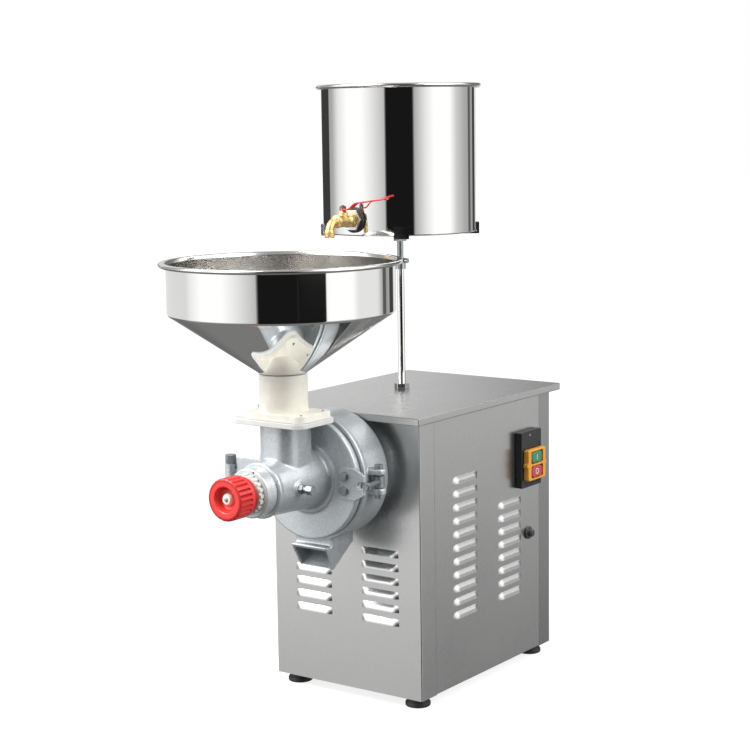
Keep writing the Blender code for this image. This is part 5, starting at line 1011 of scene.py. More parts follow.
def rounded_box(low, high, corner, edge, axis=0):
    """A box whose edges along one axis have a large radius, and whose faces across it a small one."""
    low, high = Vector(low), Vector(high)
    first, second = ((1, 2), (0, 2), (0, 1))[axis]
    outline = rounded_rectangle((low[first], low[second]), (high[first], high[second]), corner)
    mesh = extruded(outline, high[axis] - low[axis])
    columns = [Vector(), Vector(), Vector()]
    for column_vector, target in zip(columns, (first, second, axis)):
        column_vector[target] = 1
    turn = Matrix(columns).transposed().to_4x4()
    shift = Vector()
    shift[axis] = low[axis]
    mesh.transform(Matrix.Translation(shift) @ turn)
    if turn.determinant() < 0:
        mesh.flip_normals()
    holder = holder_of(mesh)
    add_bevel(holder, edge, 3, 60)
    return finished(holder)


def make_switch():
    """Case with a sunk seam, guard with two windows and two tabs, and the case's screw."""
    middle = (CASE_LOW.y + CASE_HIGH.y) / 2
    case = rounded_box(CASE_LOW, CASE_HIGH, 0.0030, 0.0012)
    recess = rounded_box((CASE_HIGH.x - 0.0008, CASE_LOW.y + 0.006, CASE_LOW.z + 0.006),
                         (CASE_HIGH.x + 0.002, CASE_HIGH.y - 0.006, CASE_HIGH.z - 0.022), 0.002, 0.0001)
    case = combined(case, [recess], "DIFFERENCE")
    screw = lathe([(0, 0.0010, 0), (0.0021, 0.0010, 0.0006), (0.0024, -0.0010, 0), (0, -0.0010, 0)],
                  (CASE_HIGH.x, middle - 0.006, CASE_HIGH.z - 0.0075), RIGHTWARD, 24)
    add_piece("switch_case", joined(case, screw, finish_by_part=True), (black, bright_steel), "switch_box")
    wells = []
    for node in ("start_button", "stop_button"):
        low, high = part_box(node)
        wells.append(rounded_box((GUARD_LOW.x - 0.002, low.y - 0.0006, low.z - 0.0006),
                                 (GUARD_HIGH.x + 0.002, high.y + 0.0006, high.z + 0.0006), 0.003, 0.0001))
    body = rounded_box((GUARD_LOW.x, GUARD_LOW.y + 0.0025, GUARD_LOW.z),
                       (GUARD_HIGH.x, GUARD_HIGH.y - 0.0025, GUARD_HIGH.z), 0.0040, 0.0016)
    guard = combined(body, wells, "DIFFERENCE")
    level = (GUARD_LOW.z + GUARD_HIGH.z) / 2
    tabs = [rounded_box((GUARD_LOW.x + 0.001, start, level - 0.0035),
                        (GUARD_HIGH.x - 0.0003, start + TAB_LENGTH, level + 0.0035), 0.0015, 0.0010)
            for start in (GUARD_LOW.y, GUARD_HIGH.y - TAB_LENGTH)]
    add_piece("switch_guard_frame", joined(guard, *tabs), yellow, "switch_guard")


BUTTON_INSET = (0.0022, 0.0008)


def make_button(node, look, sign):
    low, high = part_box(node)
    middle = (low + high) / 2
    inset = Vector((0, BUTTON_INSET[0], BUTTON_INSET[1]))
    cap = rounded_box(low + inset, high - inset - Vector((0.0004, 0, 0)), 0.0055, 0.0016)
    sign_mesh = sign(high.x, middle)
    add_piece(node + "_cap", joined(cap, sign_mesh, finish_by_part=True), (look, button_mark), node)


def bar_sign(face, middle):
    return rounded_box((face - 0.0012, middle.y - 0.0009, middle.z - 0.0045),
                       (face - 0.0001, middle.y + 0.0009, middle.z + 0.0045), 0.0006, 0.0002)


def ring_sign(face, middle):
    corners = [(0.0050, 0, 0.0002), (0.0050, 0.0011, 0.0002), (0.0034, 0.0011, 0.0002), (0.0034, 0, 0.0002)]
    return lathe(corners, (face - 0.0012, middle.y, middle.z), RIGHTWARD, 48, closed=True)


make_switch()
make_button("start_button", green, bar_sign)
make_button("stop_button", button_red, ring_sign)

# %% [markdown]
# ## Castings with soft corners
#
# Sand casting rounds everything: no inner corner is sharp, or the iron would tear as it cools. Exact Booleans
# leave knife-sharp seams, so the joined solid gets a new skin of small squares with the Remesh modifier, and
# a few rounds of smoothing melt the seams into fillets. Machined bores lose nothing that shows.

# %% A cast skin
CAST_VOXEL = 0.0014
CAST_ROUNDS = 5


def cast_skin(mesh, voxel=CAST_VOXEL, rounds=CAST_ROUNDS):
    """A new skin of small squares over a joined solid, smoothed a few times."""
    holder = holder_of(mesh)
    skin = holder.modifiers.new("skin", "REMESH")
    skin.mode = "VOXEL"
    skin.voxel_size = voxel
    soft = holder.modifiers.new("soft corners", "SMOOTH")
    soft.factor = 0.5
    soft.iterations = rounds
    return finished(holder)


def wedge(top, low):
    """A solid between two level rectangles, each (x from, x to, y from, y to, z)."""
    shape = bmesh.new()
    rings = []
    for x0, x1, y0, y1, z in (low, top):
        places = (x0, y0, z), (x1, y0, z), (x1, y1, z), (x0, y1, z)
        rings.append([shape.verts.new(place) for place in places])
        shape.faces.new(rings[-1])
    for corner in range(4):
        shape.faces.new((rings[0][corner - 1], rings[0][corner], rings[1][corner], rings[1][corner - 1]))
    bmesh.ops.recalc_face_normals(shape, faces=shape.faces)
    return mesh_of(shape)


# %% [markdown]
# ## The grinding head's back half
#
# The housing is a drum on a neck, turned from one profile: rim, drum, rounded back edge, neck and bore, and
# inside it the chamber of the stones. A tapered chute leads down from the drum, open in front, and two ears
# on the right carry the pin of the latch.

# %% Rear housing
RIM_AHEAD, RIM_LENGTH, RIM_RADIUS, DRUM_RADIUS = 0.092, 0.008, 0.1005, 0.0985
NECK_LENGTH, NECK_RADIUS, HOUSING_BORE = 0.026, 0.070, 0.017
CHAMBER_AHEAD, CHAMBER_RADIUS = 0.045, 0.080
CHUTE = {"reach": 0.104, "back": 0.034, "lip reach": 0.085, "lip depth": 0.004, "top drop": 0.1065,
         "lip drop": 0.1445, "top width": 0.070, "lip width": 0.063, "wall": 0.004, "ceiling": 0.006,
         "floor": 0.003}
DROP_SLOT = (0.040, 0.022, 0.052)
LATCH = joints["latch_swing"]
EAR_RADIUS, EAR_THICKNESS, EAR_GAP, EAR_STEPS, PIN_HOLE = 0.011, 0.009, 0.021, 20, 0.0043
TUCK = 0.0005


def make_housing():
    drum = lathe([(RIM_RADIUS, RIM_AHEAD, 0.0012), (RIM_RADIUS, RIM_AHEAD - RIM_LENGTH, 0.0010),
                  (DRUM_RADIUS, RIM_AHEAD - RIM_LENGTH, 0.0008), (DRUM_RADIUS, NECK_LENGTH, 0.006),
                  (NECK_RADIUS, NECK_LENGTH, 0.004), (NECK_RADIUS, GAP, 0.001), (HOUSING_BORE, GAP, 0.0005),
                  (HOUSING_BORE, CHAMBER_AHEAD, 0.0005), (CHAMBER_RADIUS, CHAMBER_AHEAD, 0.002),
                  (CHAMBER_RADIUS, RIM_AHEAD, 0.0008)], HEAD_AXIS, FORWARD, 160, closed=True)
    top, lip = SPINDLE - CHUTE["top drop"], SPINDLE - CHUTE["lip drop"]
    half, narrow, wall = CHUTE["top width"] / 2, CHUTE["lip width"] / 2, CHUTE["wall"]
    low_front = FRONT - CHUTE["lip reach"]
    back = FRONT - CHUTE["back"]
    body = wedge((-half, half, FRONT - CHUTE["reach"], back, top),
                 (-narrow, narrow, low_front, low_front + CHUTE["lip depth"], lip))
    root = block((-half + TUCK, FRONT - RIM_AHEAD + TUCK, top - wall),
                 (half - TUCK, back - TUCK, SPINDLE - sqrt(DRUM_RADIUS ** 2 - half ** 2) + wall))
    reach = LATCH.x - (CHAMBER_RADIUS + DRUM_RADIUS) / 2
    turns = [pi * step / EAR_STEPS for step in range(EAR_STEPS + 1)]
    round_end = [(EAR_RADIUS * sin(turn), EAR_RADIUS * cos(turn)) for turn in turns]
    outline = [(-reach, EAR_RADIUS), *round_end, (-reach, -EAR_RADIUS)]
    levels = SPINDLE - EAR_GAP / 2 - EAR_THICKNESS, SPINDLE + EAR_GAP / 2
    ears = [extruded(outline, EAR_THICKNESS, Matrix.Translation((LATCH.x, LATCH.y, level)))
            for level in levels]
    drum = combined(drum, [body, root, *ears], "UNION")
    run = (CHUTE["lip reach"] - CHUTE["lip depth"] - CHUTE["back"]) / (CHUTE["lip drop"] - CHUTE["top drop"])
    ahead = FRONT - CHUTE["reach"] - 0.002
    ceiling, floor = top - CHUTE["ceiling"], lip + CHUTE["floor"]
    high_back, low_back = [back - run * (top - level) - sqrt(2) * wall for level in (ceiling, floor)]
    hollow = wedge((-half + wall, half - wall, ahead, high_back, ceiling),
                   (-narrow + wall, narrow - wall, ahead, low_back, floor))
    slot_half, slot_length, slot_back = DROP_SLOT[0] / 2, DROP_SLOT[1], DROP_SLOT[2]
    slot = block((-slot_half, FRONT - slot_back - slot_length, ceiling - TUCK),
                 (slot_half, FRONT - slot_back, SPINDLE - sqrt(CHAMBER_RADIUS ** 2 - slot_half ** 2) + 0.002))
    pin_hole = rod(PIN_HOLE, -0.03, 0.03, LATCH, UPWARD, 32)
    drum = combined(drum, [hollow, slot, pin_hole], "DIFFERENCE")
    add_piece("rear_housing_cast", cast_skin(drum), cast_paint, "rear_housing", sharp=ALL_SMOOTH)


make_housing()

# %% [markdown]
# ## The front cover, boss and feed duct
#
# One casting again: a disc, a boss that holds the feed screw, and an upright duct with an oblong flange. The
# boss narrows to a turned ring at its end. The duct is a box with rounded upright corners, so it starts as an
# outline with four large fillets and is drawn upwards.

# %% Front cover
COVER_AHEAD, COVER_FACE, COVER_RADIUS = 0.0936, 0.105, 0.0955
BOSS_FACE, BOSS_BORE = 0.2205, 0.0285
DUCT_Y = box_middle("hopper").y
CAST_FLANGE_LOW, CAST_FLANGE_TOP = 0.4677, 0.4755
LOCK_BOLT_AHEAD = 0.176


def upright_plate(width, depth, corner, centre, low, top):
    middle, half = Vector(centre), Vector((width, depth)) / 2
    outline = rounded_rectangle(middle - half, middle + half, corner, steps=12)
    return extruded(outline, top - low, Matrix.Translation((0, 0, low)))


def make_cover():
    disc = lathe([(0, BOSS_FACE, 0), (0.042, BOSS_FACE, 0.0012), (0.042, BOSS_FACE - 0.007, 0.0012),
                  (0.0402, BOSS_FACE - 0.0085, 0.0006), (0.0405, BOSS_FACE - 0.011, 0.0008),
                  (0.046, 0.113, 0.004), (0.047, 0.107, 0.004), (0.053, 0.107, 0.0015),
                  (0.055, COVER_FACE, 0.0015), (COVER_RADIUS, COVER_FACE, 0.0016),
                  (COVER_RADIUS, COVER_AHEAD, 0.0006), (0, COVER_AHEAD, 0)], HEAD_AXIS, FORWARD, 160)
    duct = upright_plate(0.066, 0.074, 0.027, (0, DUCT_Y + 0.003), SPINDLE + 0.020, CAST_FLANGE_TOP - 0.001)
    pad = rod(0.010, BOSS_BORE, 0.0445, (0, FRONT - LOCK_BOLT_AHEAD, SPINDLE), RIGHTWARD)
    cover = combined(disc, [duct, pad], "UNION")
    bore = lathe([(0, BOSS_FACE + 0.002, 0), (0.0063, BOSS_FACE + 0.002, 0), (0.0063, BOSS_FACE - 0.030, 0),
                  (BOSS_BORE, BOSS_FACE - 0.030, 0), (BOSS_BORE, COVER_AHEAD - 0.002, 0),
                  (0, COVER_AHEAD - 0.002, 0)], HEAD_AXIS, FORWARD, 96)
    passage = rod(0.024, 0, 0.11, (0, DUCT_Y, SPINDLE), UPWARD, 72)
    cover = combined(cover, [bore, passage], "DIFFERENCE")
    flange = upright_plate(0.136, 0.092, 0.017, (-0.002, DUCT_Y), CAST_FLANGE_LOW, CAST_FLANGE_TOP)
    flange = combined(flange, [passage], "DIFFERENCE", 0.0010, 3, 40)
    add_piece("front_cover_cast", cast_skin(cover, 0.0015, 4), cast_paint, "front_cover", sharp=ALL_SMOOTH)
    add_piece("front_cover_flange", flange, flange_white, "front_cover")


make_cover()

# %% [markdown]
# ## Rings of ribs with Geometry Nodes
#
# A handwheel's grip and a lock ring's notches are one small shape repeated round an axis. The tree puts the
# modifier's own mesh on the points of a circle and turns each copy by its place in the ring. The copies then
# cut the grooves of the wheel, or stand proud as the teeth of the ring.

# %% The ring tree
def ring_tree():
    tree, entry = new_tree("ring_of_copies", {"Count": 24, "Radius": 0.03})
    count, radius = given(tree, entry, "Count"), given(tree, entry, "Radius")
    circle = add_node(tree, "GeometryNodeMeshCircle", None, {"Vertices": count, "Radius": radius})
    turn = add_node(tree, "GeometryNodeInputIndex") * (2 * pi) / count
    rotation = add_node(tree, "ShaderNodeCombineXYZ", None, {2: turn})
    copies = {"Points": circle, "Instance": given(tree, entry, "Geometry"), "Rotation": rotation}
    end_tree(tree, entry, add_node(tree, "GeometryNodeInstanceOnPoints", None, copies))
    return tree


RING = ring_tree()


def capsule(length, wide, tall):
    """A rounded bar along Z, squashed to an oval, for grooves and ribs."""
    shape = bmesh.new()
    bmesh.ops.create_uvsphere(shape, u_segments=12, v_segments=8, radius=1)
    for corner in shape.verts:
        x, y, z = corner.co
        half_way = 0 if abs(z) < 0.01 else (length - wide) / 2 * (1 if z > 0 else -1)
        corner.co = Vector((x * tall / 2, y * wide / 2, z * wide / 2 + half_way))
    return mesh_of(shape)


print("ring tree ready")

# %% [markdown]
# ## The grind adjuster
#
# The stones are set by turning the red wheel, which pushes the thrust pin, and a notched ring holds the
# setting. Sleeve and ring are metal, the wheel is moulded: a dished front, a pale hub with its screw, and a
# grip with a groove every fifteen degrees and a narrower neck behind it.

# %% Sleeve, lock ring and handwheel
SLEEVE_AHEAD, SLEEVE_FACE, THREAD_END = 0.2208, 0.243, 0.255
RING_THICKNESS, RING_RADIUS, RING_ROOT, RING_TEETH = 0.0085, 0.0305, 0.0280, 20
WHEEL_AHEAD, WHEEL_DEPTH, WHEEL_RIBS = 0.2568, 0.040, 24
WHEEL_RADIUS, WHEEL_NECK, NECK_DEPTH, DISH_RADIUS, DISH_DEPTH = 0.0316, 0.0285, 0.0075, 0.0190, 0.0125
GROOVE, GROOVE_MIDDLE = (0.0265, 0.0044, 0.0064), 0.0265
WHEEL_PLACE = HEAD_AXIS + Vector((0, -WHEEL_AHEAD, 0))
# The last colour on the next line is painted shade for the bottoms of the grip's grooves.
GRIP_RED, GRIP_WORN, GROOVE_SHADE_RED = (0.80, 0.040, 0.038), (0.70, 0.030, 0.028), (0.42, 0.008, 0.005)


def make_sleeve():
    sleeve = lathe([(0.0155, THREAD_END, 0.0008), (0.0155, SLEEVE_FACE, 0.0006),
                    (0.037, SLEEVE_FACE, 0.0022), (0.037, SLEEVE_AHEAD, 0.0010),
                    (0.0063, SLEEVE_AHEAD, 0.0004), (0.0063, THREAD_END, 0.0004)],
                   HEAD_AXIS, FORWARD, 128, closed=True)
    screw = lathe([(0, 0.0004, 0), (0.0017, 0.0004, 0.0003), (0.0017, -0.0010, 0), (0, -0.0010, 0)],
                  (0.0105, FRONT - SLEEVE_FACE, SPINDLE + 0.0322), FORWARD, 24)
    # The sleeve takes the lighter, lit copy of the hammer paint: painted light.
    add_piece("adjuster_sleeve_turned", joined(sleeve, screw, finish_by_part=True), (lit_paint, black),
              "adjuster_sleeve")


def make_lock_ring():
    low = SLEEVE_FACE + GAP
    ring = lathe([(RING_ROOT, low + RING_THICKNESS, 0.0008), (RING_ROOT, low, 0.0008),
                  (0.0158, low, 0.0004), (0.0158, low + RING_THICKNESS, 0.0004)],
                 HEAD_AXIS, FORWARD, 120, closed=True)
    tooth = rounded_box((-0.0020, -0.0026, 0.0004),
                        (RING_RADIUS - RING_ROOT, 0.0026, RING_THICKNESS - 0.0004), 0.0008, 0.0005)
    teeth = run_tree(RING, tooth, ring_metal, Count=RING_TEETH, Radius=RING_ROOT)
    teeth.transform(facing((0, FRONT - low, SPINDLE), FORWARD))
    add_piece("lock_ring_notched", joined(ring, teeth), ring_metal, "lock_ring")


def grip_red():
    """Red plastic with painted shade down in the grooves, and worn patches where it is handled."""
    finish = Finish("grip_red", GRIP_RED, 0.30)
    spot = finish.place.shifted(tuple(HEAD_AXIS))
    radius = (spot.part(0) * spot.part(0) + spot.part(2) * spot.part(2)) ** 0.5
    # Painted shade: the colour turns a deep red down in the grooves, where shade falls.
    sunk = (WHEEL_RADIUS - radius).steps(0.0004, 0.0022) * radius.steps(0.0262, 0.0272)
    handled = finish.noise(60.0, 3.0, 0.55)
    worn = (handled * 0.5 + 0.25).between((*GRIP_RED, 1), (*GRIP_WORN, 1))
    groove_shading = {0: sunk, 6: worn, 7: (*GROOVE_SHADE_RED, 1)}
    finish.wire("Base Color", sunk.node("ShaderNodeMix", {"data_type": "RGBA"}, groove_shading, 2))
    finish.wire("Roughness", 0.26 + 0.16 * handled)
    finish.bump(finish.noise(420.0, 2.0, 0.5), 0.00003)
    return finish.material


def make_handwheel():
    dish = WHEEL_DEPTH - DISH_DEPTH
    wheel = lathe([(0, dish, 0), (0.0120, dish, 0.0010), (0.0160, dish + 0.0010, 0.003),
                   (DISH_RADIUS, WHEEL_DEPTH, 0.0026), (WHEEL_RADIUS, WHEEL_DEPTH, 0.0034),
                   (WHEEL_RADIUS, NECK_DEPTH, 0.0012), (WHEEL_NECK, NECK_DEPTH, 0.0006),
                   (WHEEL_NECK, 0, 0.0010), (0.0063, 0, 0.0005), (0.0063, 0.020, 0.0003), (0, 0.020, 0)],
                  WHEEL_PLACE, FORWARD, 144)
    groove = capsule(*GROOVE)
    groove.transform(Matrix.Translation((0, 0, GROOVE_MIDDLE)))
    grooves = run_tree(RING, groove, ivory, Count=WHEEL_RIBS, Radius=WHEEL_RADIUS + 0.0006)
    grooves.transform(facing(WHEEL_PLACE, FORWARD))
    wheel = combined(wheel, [grooves], "DIFFERENCE", 0.0005, 2, 40)
    hub = lathe([(0, dish + 0.0085, 0), (0.0070, dish + 0.0085, 0.0014), (0.0088, dish + 0.0050, 0.0010),
                 (0.0088, dish - 0.001, 0), (0, dish - 0.001, 0)], WHEEL_PLACE, FORWARD, 64)
    screw = lathe([(0, dish + 0.0104, 0), (0.0024, dish + 0.0102, 0.0008), (0.0034, dish + 0.0086, 0.0004),
                   (0.0034, dish + 0.008, 0), (0, dish + 0.008, 0)], WHEEL_PLACE, FORWARD, 32)
    add_piece("handwheel_moulded", joined(wheel, hub, screw, finish_by_part=True),
              (grip_red(), ivory, bright_steel), "handwheel")


make_sleeve()
make_lock_ring()
make_handwheel()

# %% [markdown]
# ## Feed spout and hopper
#
# The spout is a cream tube with a broad foot, screwed to the casting's flange. The hopper is spun from flat
# sheet over a former: a short neck that drops into the spout, a cone, an upright wall and a rolled lip. Its
# profile is drawn as one line and given the sheet's thickness by Solidify, which also puts the sanded finish
# on the inside.

# %% Spout
SPOUT_BASE, SPOUT_TOP, SPOUT_RADIUS, SPOUT_BORE = 0.4758, 0.5418, 0.0365, 0.0305
FOOT_THICKNESS = 0.010
SPOUT_SCREW_X = 0.053
SPOUT_SCREW_Y = (-0.026, 0.026)


def make_spout():
    tube = lathe([(0, SPOUT_TOP, 0), (SPOUT_RADIUS, SPOUT_TOP, 0.0014), (SPOUT_RADIUS, SPOUT_BASE, 0),
                  (0, SPOUT_BASE, 0)], (0, DUCT_Y, 0), UPWARD, 96)
    foot = upright_plate(0.114, 0.080, 0.014, (0.006, DUCT_Y), SPOUT_BASE, SPOUT_BASE + FOOT_THICKNESS)
    bore = rod(SPOUT_BORE, -0.01, 0.08, (0, DUCT_Y, SPOUT_BASE), UPWARD, 96)
    tube = combined(tube, [foot], "UNION")
    tube = combined(tube, [bore], "DIFFERENCE", 0.0012, 3, 40)
    screws = [lathe([(0, 0.0009, 0), (0.0017, 0.0009, 0.0004), (0.0022, 0, 0), (0, -0.0008, 0)],
                    (SPOUT_SCREW_X, DUCT_Y + y, SPOUT_BASE + FOOT_THICKNESS), UPWARD, 24)
              for y in SPOUT_SCREW_Y]
    add_piece("feed_spout_moulded", joined(tube, joined(*screws), finish_by_part=True), (cream, dark_iron),
              "feed_spout")


make_spout()

# %% Hopper and tank
HOPPER_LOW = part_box("hopper")[0].z
STEEL_SHEET, SPUN_SIDES, ROLL_STEPS = 0.001, 192, 14
HOPPER_RADIUS, HOPPER_RIM, SEAT, KNEE, BRIM = 0.169, 0.179, 0.0123, 0.1033, 0.1793
POST = box_middle("post_tube")
TANK_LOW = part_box("tank")[0].z
TANK_RADIUS, TANK_HEIGHT = 0.126, 0.2390
TAP_WALL_Y, TAP_Z, TAP_HOLE = POST.y - TANK_RADIUS, box_middle("tap_nut").z, 0.0098


def rolled_lip(outer, top, roll):
    """The edge of a sheet rolled over a wire: points on an arc, ready to be corners without a fillet."""
    turns = [pi * (-0.62 + 1.12 * step / ROLL_STEPS) for step in range(ROLL_STEPS + 1)]
    return [(outer - roll + roll * cos(turn), top - roll + roll * sin(turn), 0) for turn in turns]


def spun_sheet(corners, place):
    """A line turned from its low end up, so that its faces look outwards, and thickened inwards."""
    shape = turned(reversed(filleted(corners, False, 8)), SPUN_SIDES)
    shape.transform(Matrix.Translation(place))
    mesh = mesh_of(shape)
    mesh.materials.append(polished)
    mesh.materials.append(sanded)
    holder = holder_of(mesh)
    wall = holder.modifiers.new("sheet", "SOLIDIFY")
    wall.thickness = STEEL_SHEET
    wall.offset = -1
    wall.use_even_offset = True
    wall.material_offset = 1
    return finished(holder)


def make_hopper():
    roll, shoulder = 0.0022, SEAT + STEEL_SHEET
    line = rolled_lip(HOPPER_RIM, BRIM, roll)
    line += [(HOPPER_RADIUS + roll, BRIM, 0.0020), (HOPPER_RADIUS, BRIM - 2 * roll, 0.0020),
             (HOPPER_RADIUS, KNEE, 0.0055), (0.0355, shoulder, 0.0020), (0.030, shoulder, 0.0010),
             (0.030, 0, 0)]
    hopper = spun_sheet(line, (0, DUCT_Y, HOPPER_LOW))
    add_piece("hopper_spun", hopper, (polished, sanded), "hopper")


def make_tank():
    roll = 0.0024
    line = rolled_lip(TANK_RADIUS + 0.0075, TANK_HEIGHT, roll)
    line += [(TANK_RADIUS + roll / 2, TANK_HEIGHT, 0.0012), (TANK_RADIUS, TANK_HEIGHT - roll, 0.0012),
             (TANK_RADIUS, 0, 0.0026), (0, 0, 0)]
    tank = spun_sheet(line, (POST.x, POST.y, TANK_LOW))
    tap_hole = rod(TAP_HOLE, -0.02, 0.02, (POST.x, TAP_WALL_Y, TAP_Z), FORWARD, 32)
    add_piece("tank_spun", combined(tank, [tap_hole], "DIFFERENCE"), (polished, sanded), "tank")


make_hopper()
make_tank()

# %% [markdown]
# ## Post and cradle
#
# The post is a tube with a thinner rod that slides in it, held by a collar and a small screw. A hexagon nut
# on the rod carries the cradle: two crossed bars of flat steel, bent up at their ends.

# %% Post, rod and cradle
TUBE_LOW, TUBE_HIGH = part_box("post_tube")
TUBE_RADIUS, TUBE_BORE = 0.0062, 0.0056

tube_profile = [(TUBE_RADIUS, TUBE_HIGH.z, 0.0006), (TUBE_RADIUS, TUBE_LOW.z, 0.0003),
                (TUBE_BORE, TUBE_LOW.z, 0.0001), (TUBE_BORE, TUBE_HIGH.z, 0.0002)]
tube = lathe(tube_profile, (POST.x, POST.y, 0), UPWARD, 48, closed=True)
add_piece("post_tube_drawn", tube, polished, "post_tube")
refine(bent_steel, 0.0006, "post_rod", "post_nut", "post_collar", "clamp_screw", segments=3)
refine(bent_steel, 0.0009, "tank_cradle", segments=3)

# %% [markdown]
# ## The tap
#
# A hot-pressed brass body with a ball valve: collar, barrel, a boss for the stem on top, and a spout that
# bends down. It is built from a few turned shapes and a bent tube, joined, and given a cast skin like the
# iron castings, only finer. The lever is flat steel dipped in red vinyl, with an easy S bend.

# %% Washer, nut and body
STEM = joints["tap_lever_turn"]
NUT_LOW, NUT_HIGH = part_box("tap_nut")
LEVER_LOW, LEVER_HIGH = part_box("tap_lever")
BODY_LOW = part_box("tap_body")[0]
COLLAR_Y = NUT_LOW.y - GAP
TUBE_RESOLUTION, ELBOW_STEPS = 6, 10
BARREL_START, BARREL_LENGTH, ELBOW_RADIUS, PIPE_RADIUS, OUTLET_RADIUS = 0.010, 0.030, 0.016, 0.0070, 0.0060


def hexagon(flats, height, hole, matrix):
    """A hexagon nut: a prism whose corners are turned off by a cone at both ends."""
    corner = flats / sqrt(3)
    outline = [(corner * cos(pi * side / 3), corner * sin(pi * side / 3)) for side in range(6)]
    prism = extruded(outline, height)
    end, waist = corner * 0.94, corner * 1.12
    cone = lathe([(0, height, 0), (end, height, 0), (waist, height * 0.72, 0), (waist, height * 0.28, 0),
                  (end, 0, 0), (0, 0, 0)], (0, 0, 0), UPWARD, 96)
    nut = combined(prism, [cone], "INTERSECT")
    if hole:
        nut = combined(nut, [rod(hole, -0.01, height + 0.01, (0, 0, 0))], "DIFFERENCE", 0.0003, 2)
    nut.transform(matrix)
    return nut


def bent_tube(points, radius):
    """A solid rod along a smooth line of points."""
    curve = bpy.data.curves.new("rod", "CURVE")
    curve.dimensions = "3D"
    curve.bevel_depth = radius
    curve.bevel_resolution = TUBE_RESOLUTION
    curve.use_fill_caps = True
    line = curve.splines.new("POLY")
    line.points.add(len(points) - 1)
    for point, place in zip(line.points, points):
        point.co = (*place, 1)
    mesh = finished(holder_of(curve))
    shape = bmesh.new()
    shape.from_mesh(mesh)
    bmesh.ops.remove_doubles(shape, verts=shape.verts, dist=MERGE)
    bmesh.ops.recalc_face_normals(shape, faces=shape.faces)
    return mesh_of(shape)


def make_washer_and_nut():
    washer = lathe([(0.0205, 0.003, 0.0008), (0.0205, 0, 0.0008),
                    (TAP_HOLE, 0, 0.0003), (TAP_HOLE, 0.003, 0.0003)],
                   (POST.x, TAP_WALL_Y - 2 * GAP, TAP_Z), FORWARD, 72, closed=True)
    add_piece("tap_washer_ring", washer, rubber, "tap_washer")
    place = facing((POST.x, NUT_HIGH.y, TAP_Z), FORWARD)
    add_piece("tap_lock_nut", hexagon(0.031, NUT_HIGH.y - NUT_LOW.y, TAP_HOLE, place), nickel, "tap_nut")


def make_tap():
    end = BARREL_START + BARREL_LENGTH
    body = lathe([(0, end, 0), (0.0098, end, 0.0020), (0.0105, end - 0.006, 0.001),
                  (0.0098, end - 0.010, 0.001), (0.0098, BARREL_START + 0.004, 0.001),
                  (0.0104, BARREL_START, 0.001), (0.0112, BARREL_START, 0.0008), (0.0112, 0, 0.0006),
                  (0.0095, 0, 0.0003), (0.0095, -0.018, 0.0004), (0, -0.018, 0)],
                 (POST.x, COLLAR_Y, TAP_Z), FORWARD, 64)
    bend_y = COLLAR_Y - end
    mouth_place = (POST.x, bend_y - ELBOW_RADIUS, BODY_LOW.z)
    turns = [pi / 2 * step / ELBOW_STEPS for step in range(ELBOW_STEPS + 1)]
    route = [(POST.x, bend_y + 0.012, TAP_Z)]
    route += [(POST.x, bend_y - ELBOW_RADIUS * sin(turn), TAP_Z - ELBOW_RADIUS * (1 - cos(turn)))
              for turn in turns]
    route.append((POST.x, mouth_place[1], BODY_LOW.z + 0.001))
    pipe = bent_tube(route, PIPE_RADIUS)
    mouth = lathe([(0, 0.0115, 0), (0.0072, 0.0115, 0), (0.0079, 0.0090, 0.0006), (0.0079, 0, 0.0010),
                   (0, 0, 0)], mouth_place, UPWARD, 40)
    stem_top = LEVER_LOW.z - GAP
    stem = lathe([(0, stem_top - TAP_Z, 0), (0.0052, stem_top - TAP_Z, 0.0006), (0.0052, 0.0145, 0.0004),
                  (0.0070, 0.0138, 0.0010), (0.0078, 0.0095, 0.0010), (0.0078, 0, 0), (0, 0, 0)],
                 (POST.x, STEM.y, TAP_Z), UPWARD, 48)
    body = combined(body, [pipe, mouth, stem], "UNION")
    outlet = rod(OUTLET_RADIUS, -0.003, 0.009, mouth_place, UPWARD, 32)
    body = combined(body, [outlet], "DIFFERENCE")
    add_piece("tap_body_brass", cast_skin(body, 0.0007, 3), brass, "tap_body", sharp=ALL_SMOOTH)


make_washer_and_nut()
make_tap()

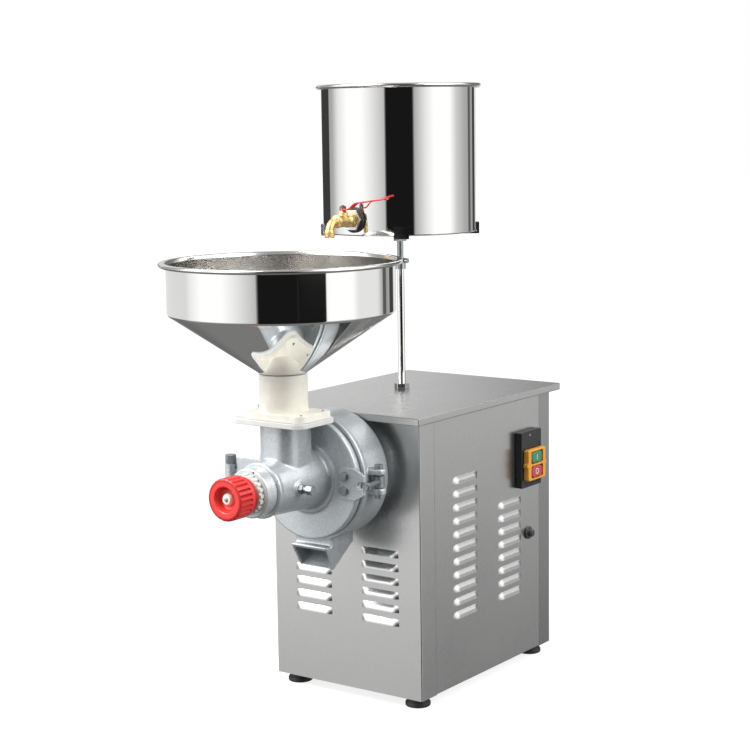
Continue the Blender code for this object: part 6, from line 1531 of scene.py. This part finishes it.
# %% Lever
LEVER_WIDTH, LEVER_THICKNESS, LEVER_RISE = 0.012, 0.0025, 0.0108
BEND_FROM, BEND_TO, BEND_SLICES = 0.11, 0.34, 14
TIP_RISE = LEVER_HIGH.z - LEVER_LOW.z - LEVER_THICKNESS - LEVER_RISE - GAP


def make_lever():
    """A stadium-shaped bar, sliced across its bend and lifted along a smooth step."""
    half = LEVER_WIDTH / 2
    start, end = LEVER_LOW.x - STEM.x, LEVER_HIGH.x - STEM.x
    outline = filleted([(start, -half, half * 0.98), (end, -half * 0.92, half * 0.85),
                        (end, half * 0.92, half * 0.85), (start, half, half * 0.98)], steps=8)
    shape = bmesh.new()
    shape.from_mesh(extruded(outline, LEVER_THICKNESS))
    bend_from, bend_to = BEND_FROM * end, BEND_TO * end
    for step in range(BEND_SLICES + 1):
        x = bend_from + (bend_to - bend_from) * step / BEND_SLICES
        whole = list(shape.verts) + list(shape.edges) + list(shape.faces)
        bmesh.ops.bisect_plane(shape, geom=whole, dist=MERGE, plane_co=(x, 0, 0), plane_no=(1, 0, 0))
    for corner in shape.verts:
        share = min(max((corner.co.x - bend_from) / (bend_to - bend_from), 0), 1)
        slope = max(corner.co.x - bend_to, 0) / (end - bend_to)
        corner.co.z += LEVER_RISE * share * share * (3 - 2 * share) + TIP_RISE * slope
    shape.transform(Matrix.Translation((STEM.x, STEM.y, LEVER_LOW.z)))
    holder = holder_of(mesh_of(shape))
    add_bevel(holder, 0.0009, 3, 50)
    bar = finished(holder)
    top = Vector((STEM.x, STEM.y, LEVER_LOW.z + LEVER_THICKNESS))
    cap = hexagon(0.0100, 0.0042, 0, Matrix.Translation(top))
    tip = lathe([(0, 0.0058, 0), (0.0026, 0.0058, 0.0006), (0.0028, 0, 0), (0, 0, 0)], top, UPWARD, 24)
    add_piece("tap_lever_dipped", joined(bar, cap, tip, finish_by_part=True),
              (dipped_red, dark_iron, dark_iron), "tap_lever")


make_lever()

# %% [markdown]
# ## Measure and finish
#
# The dressed model's box is measured, and its difference from the imported one's is printed.
# The dressed model must keep to the space of the imported one.

# %% Print the sizes
visual_low, visual_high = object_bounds()
differences = (*(visual_low - cad_low), *(visual_high - cad_high))
print("box differs in mm:", [round(1000 * value, 2) for value in differences])
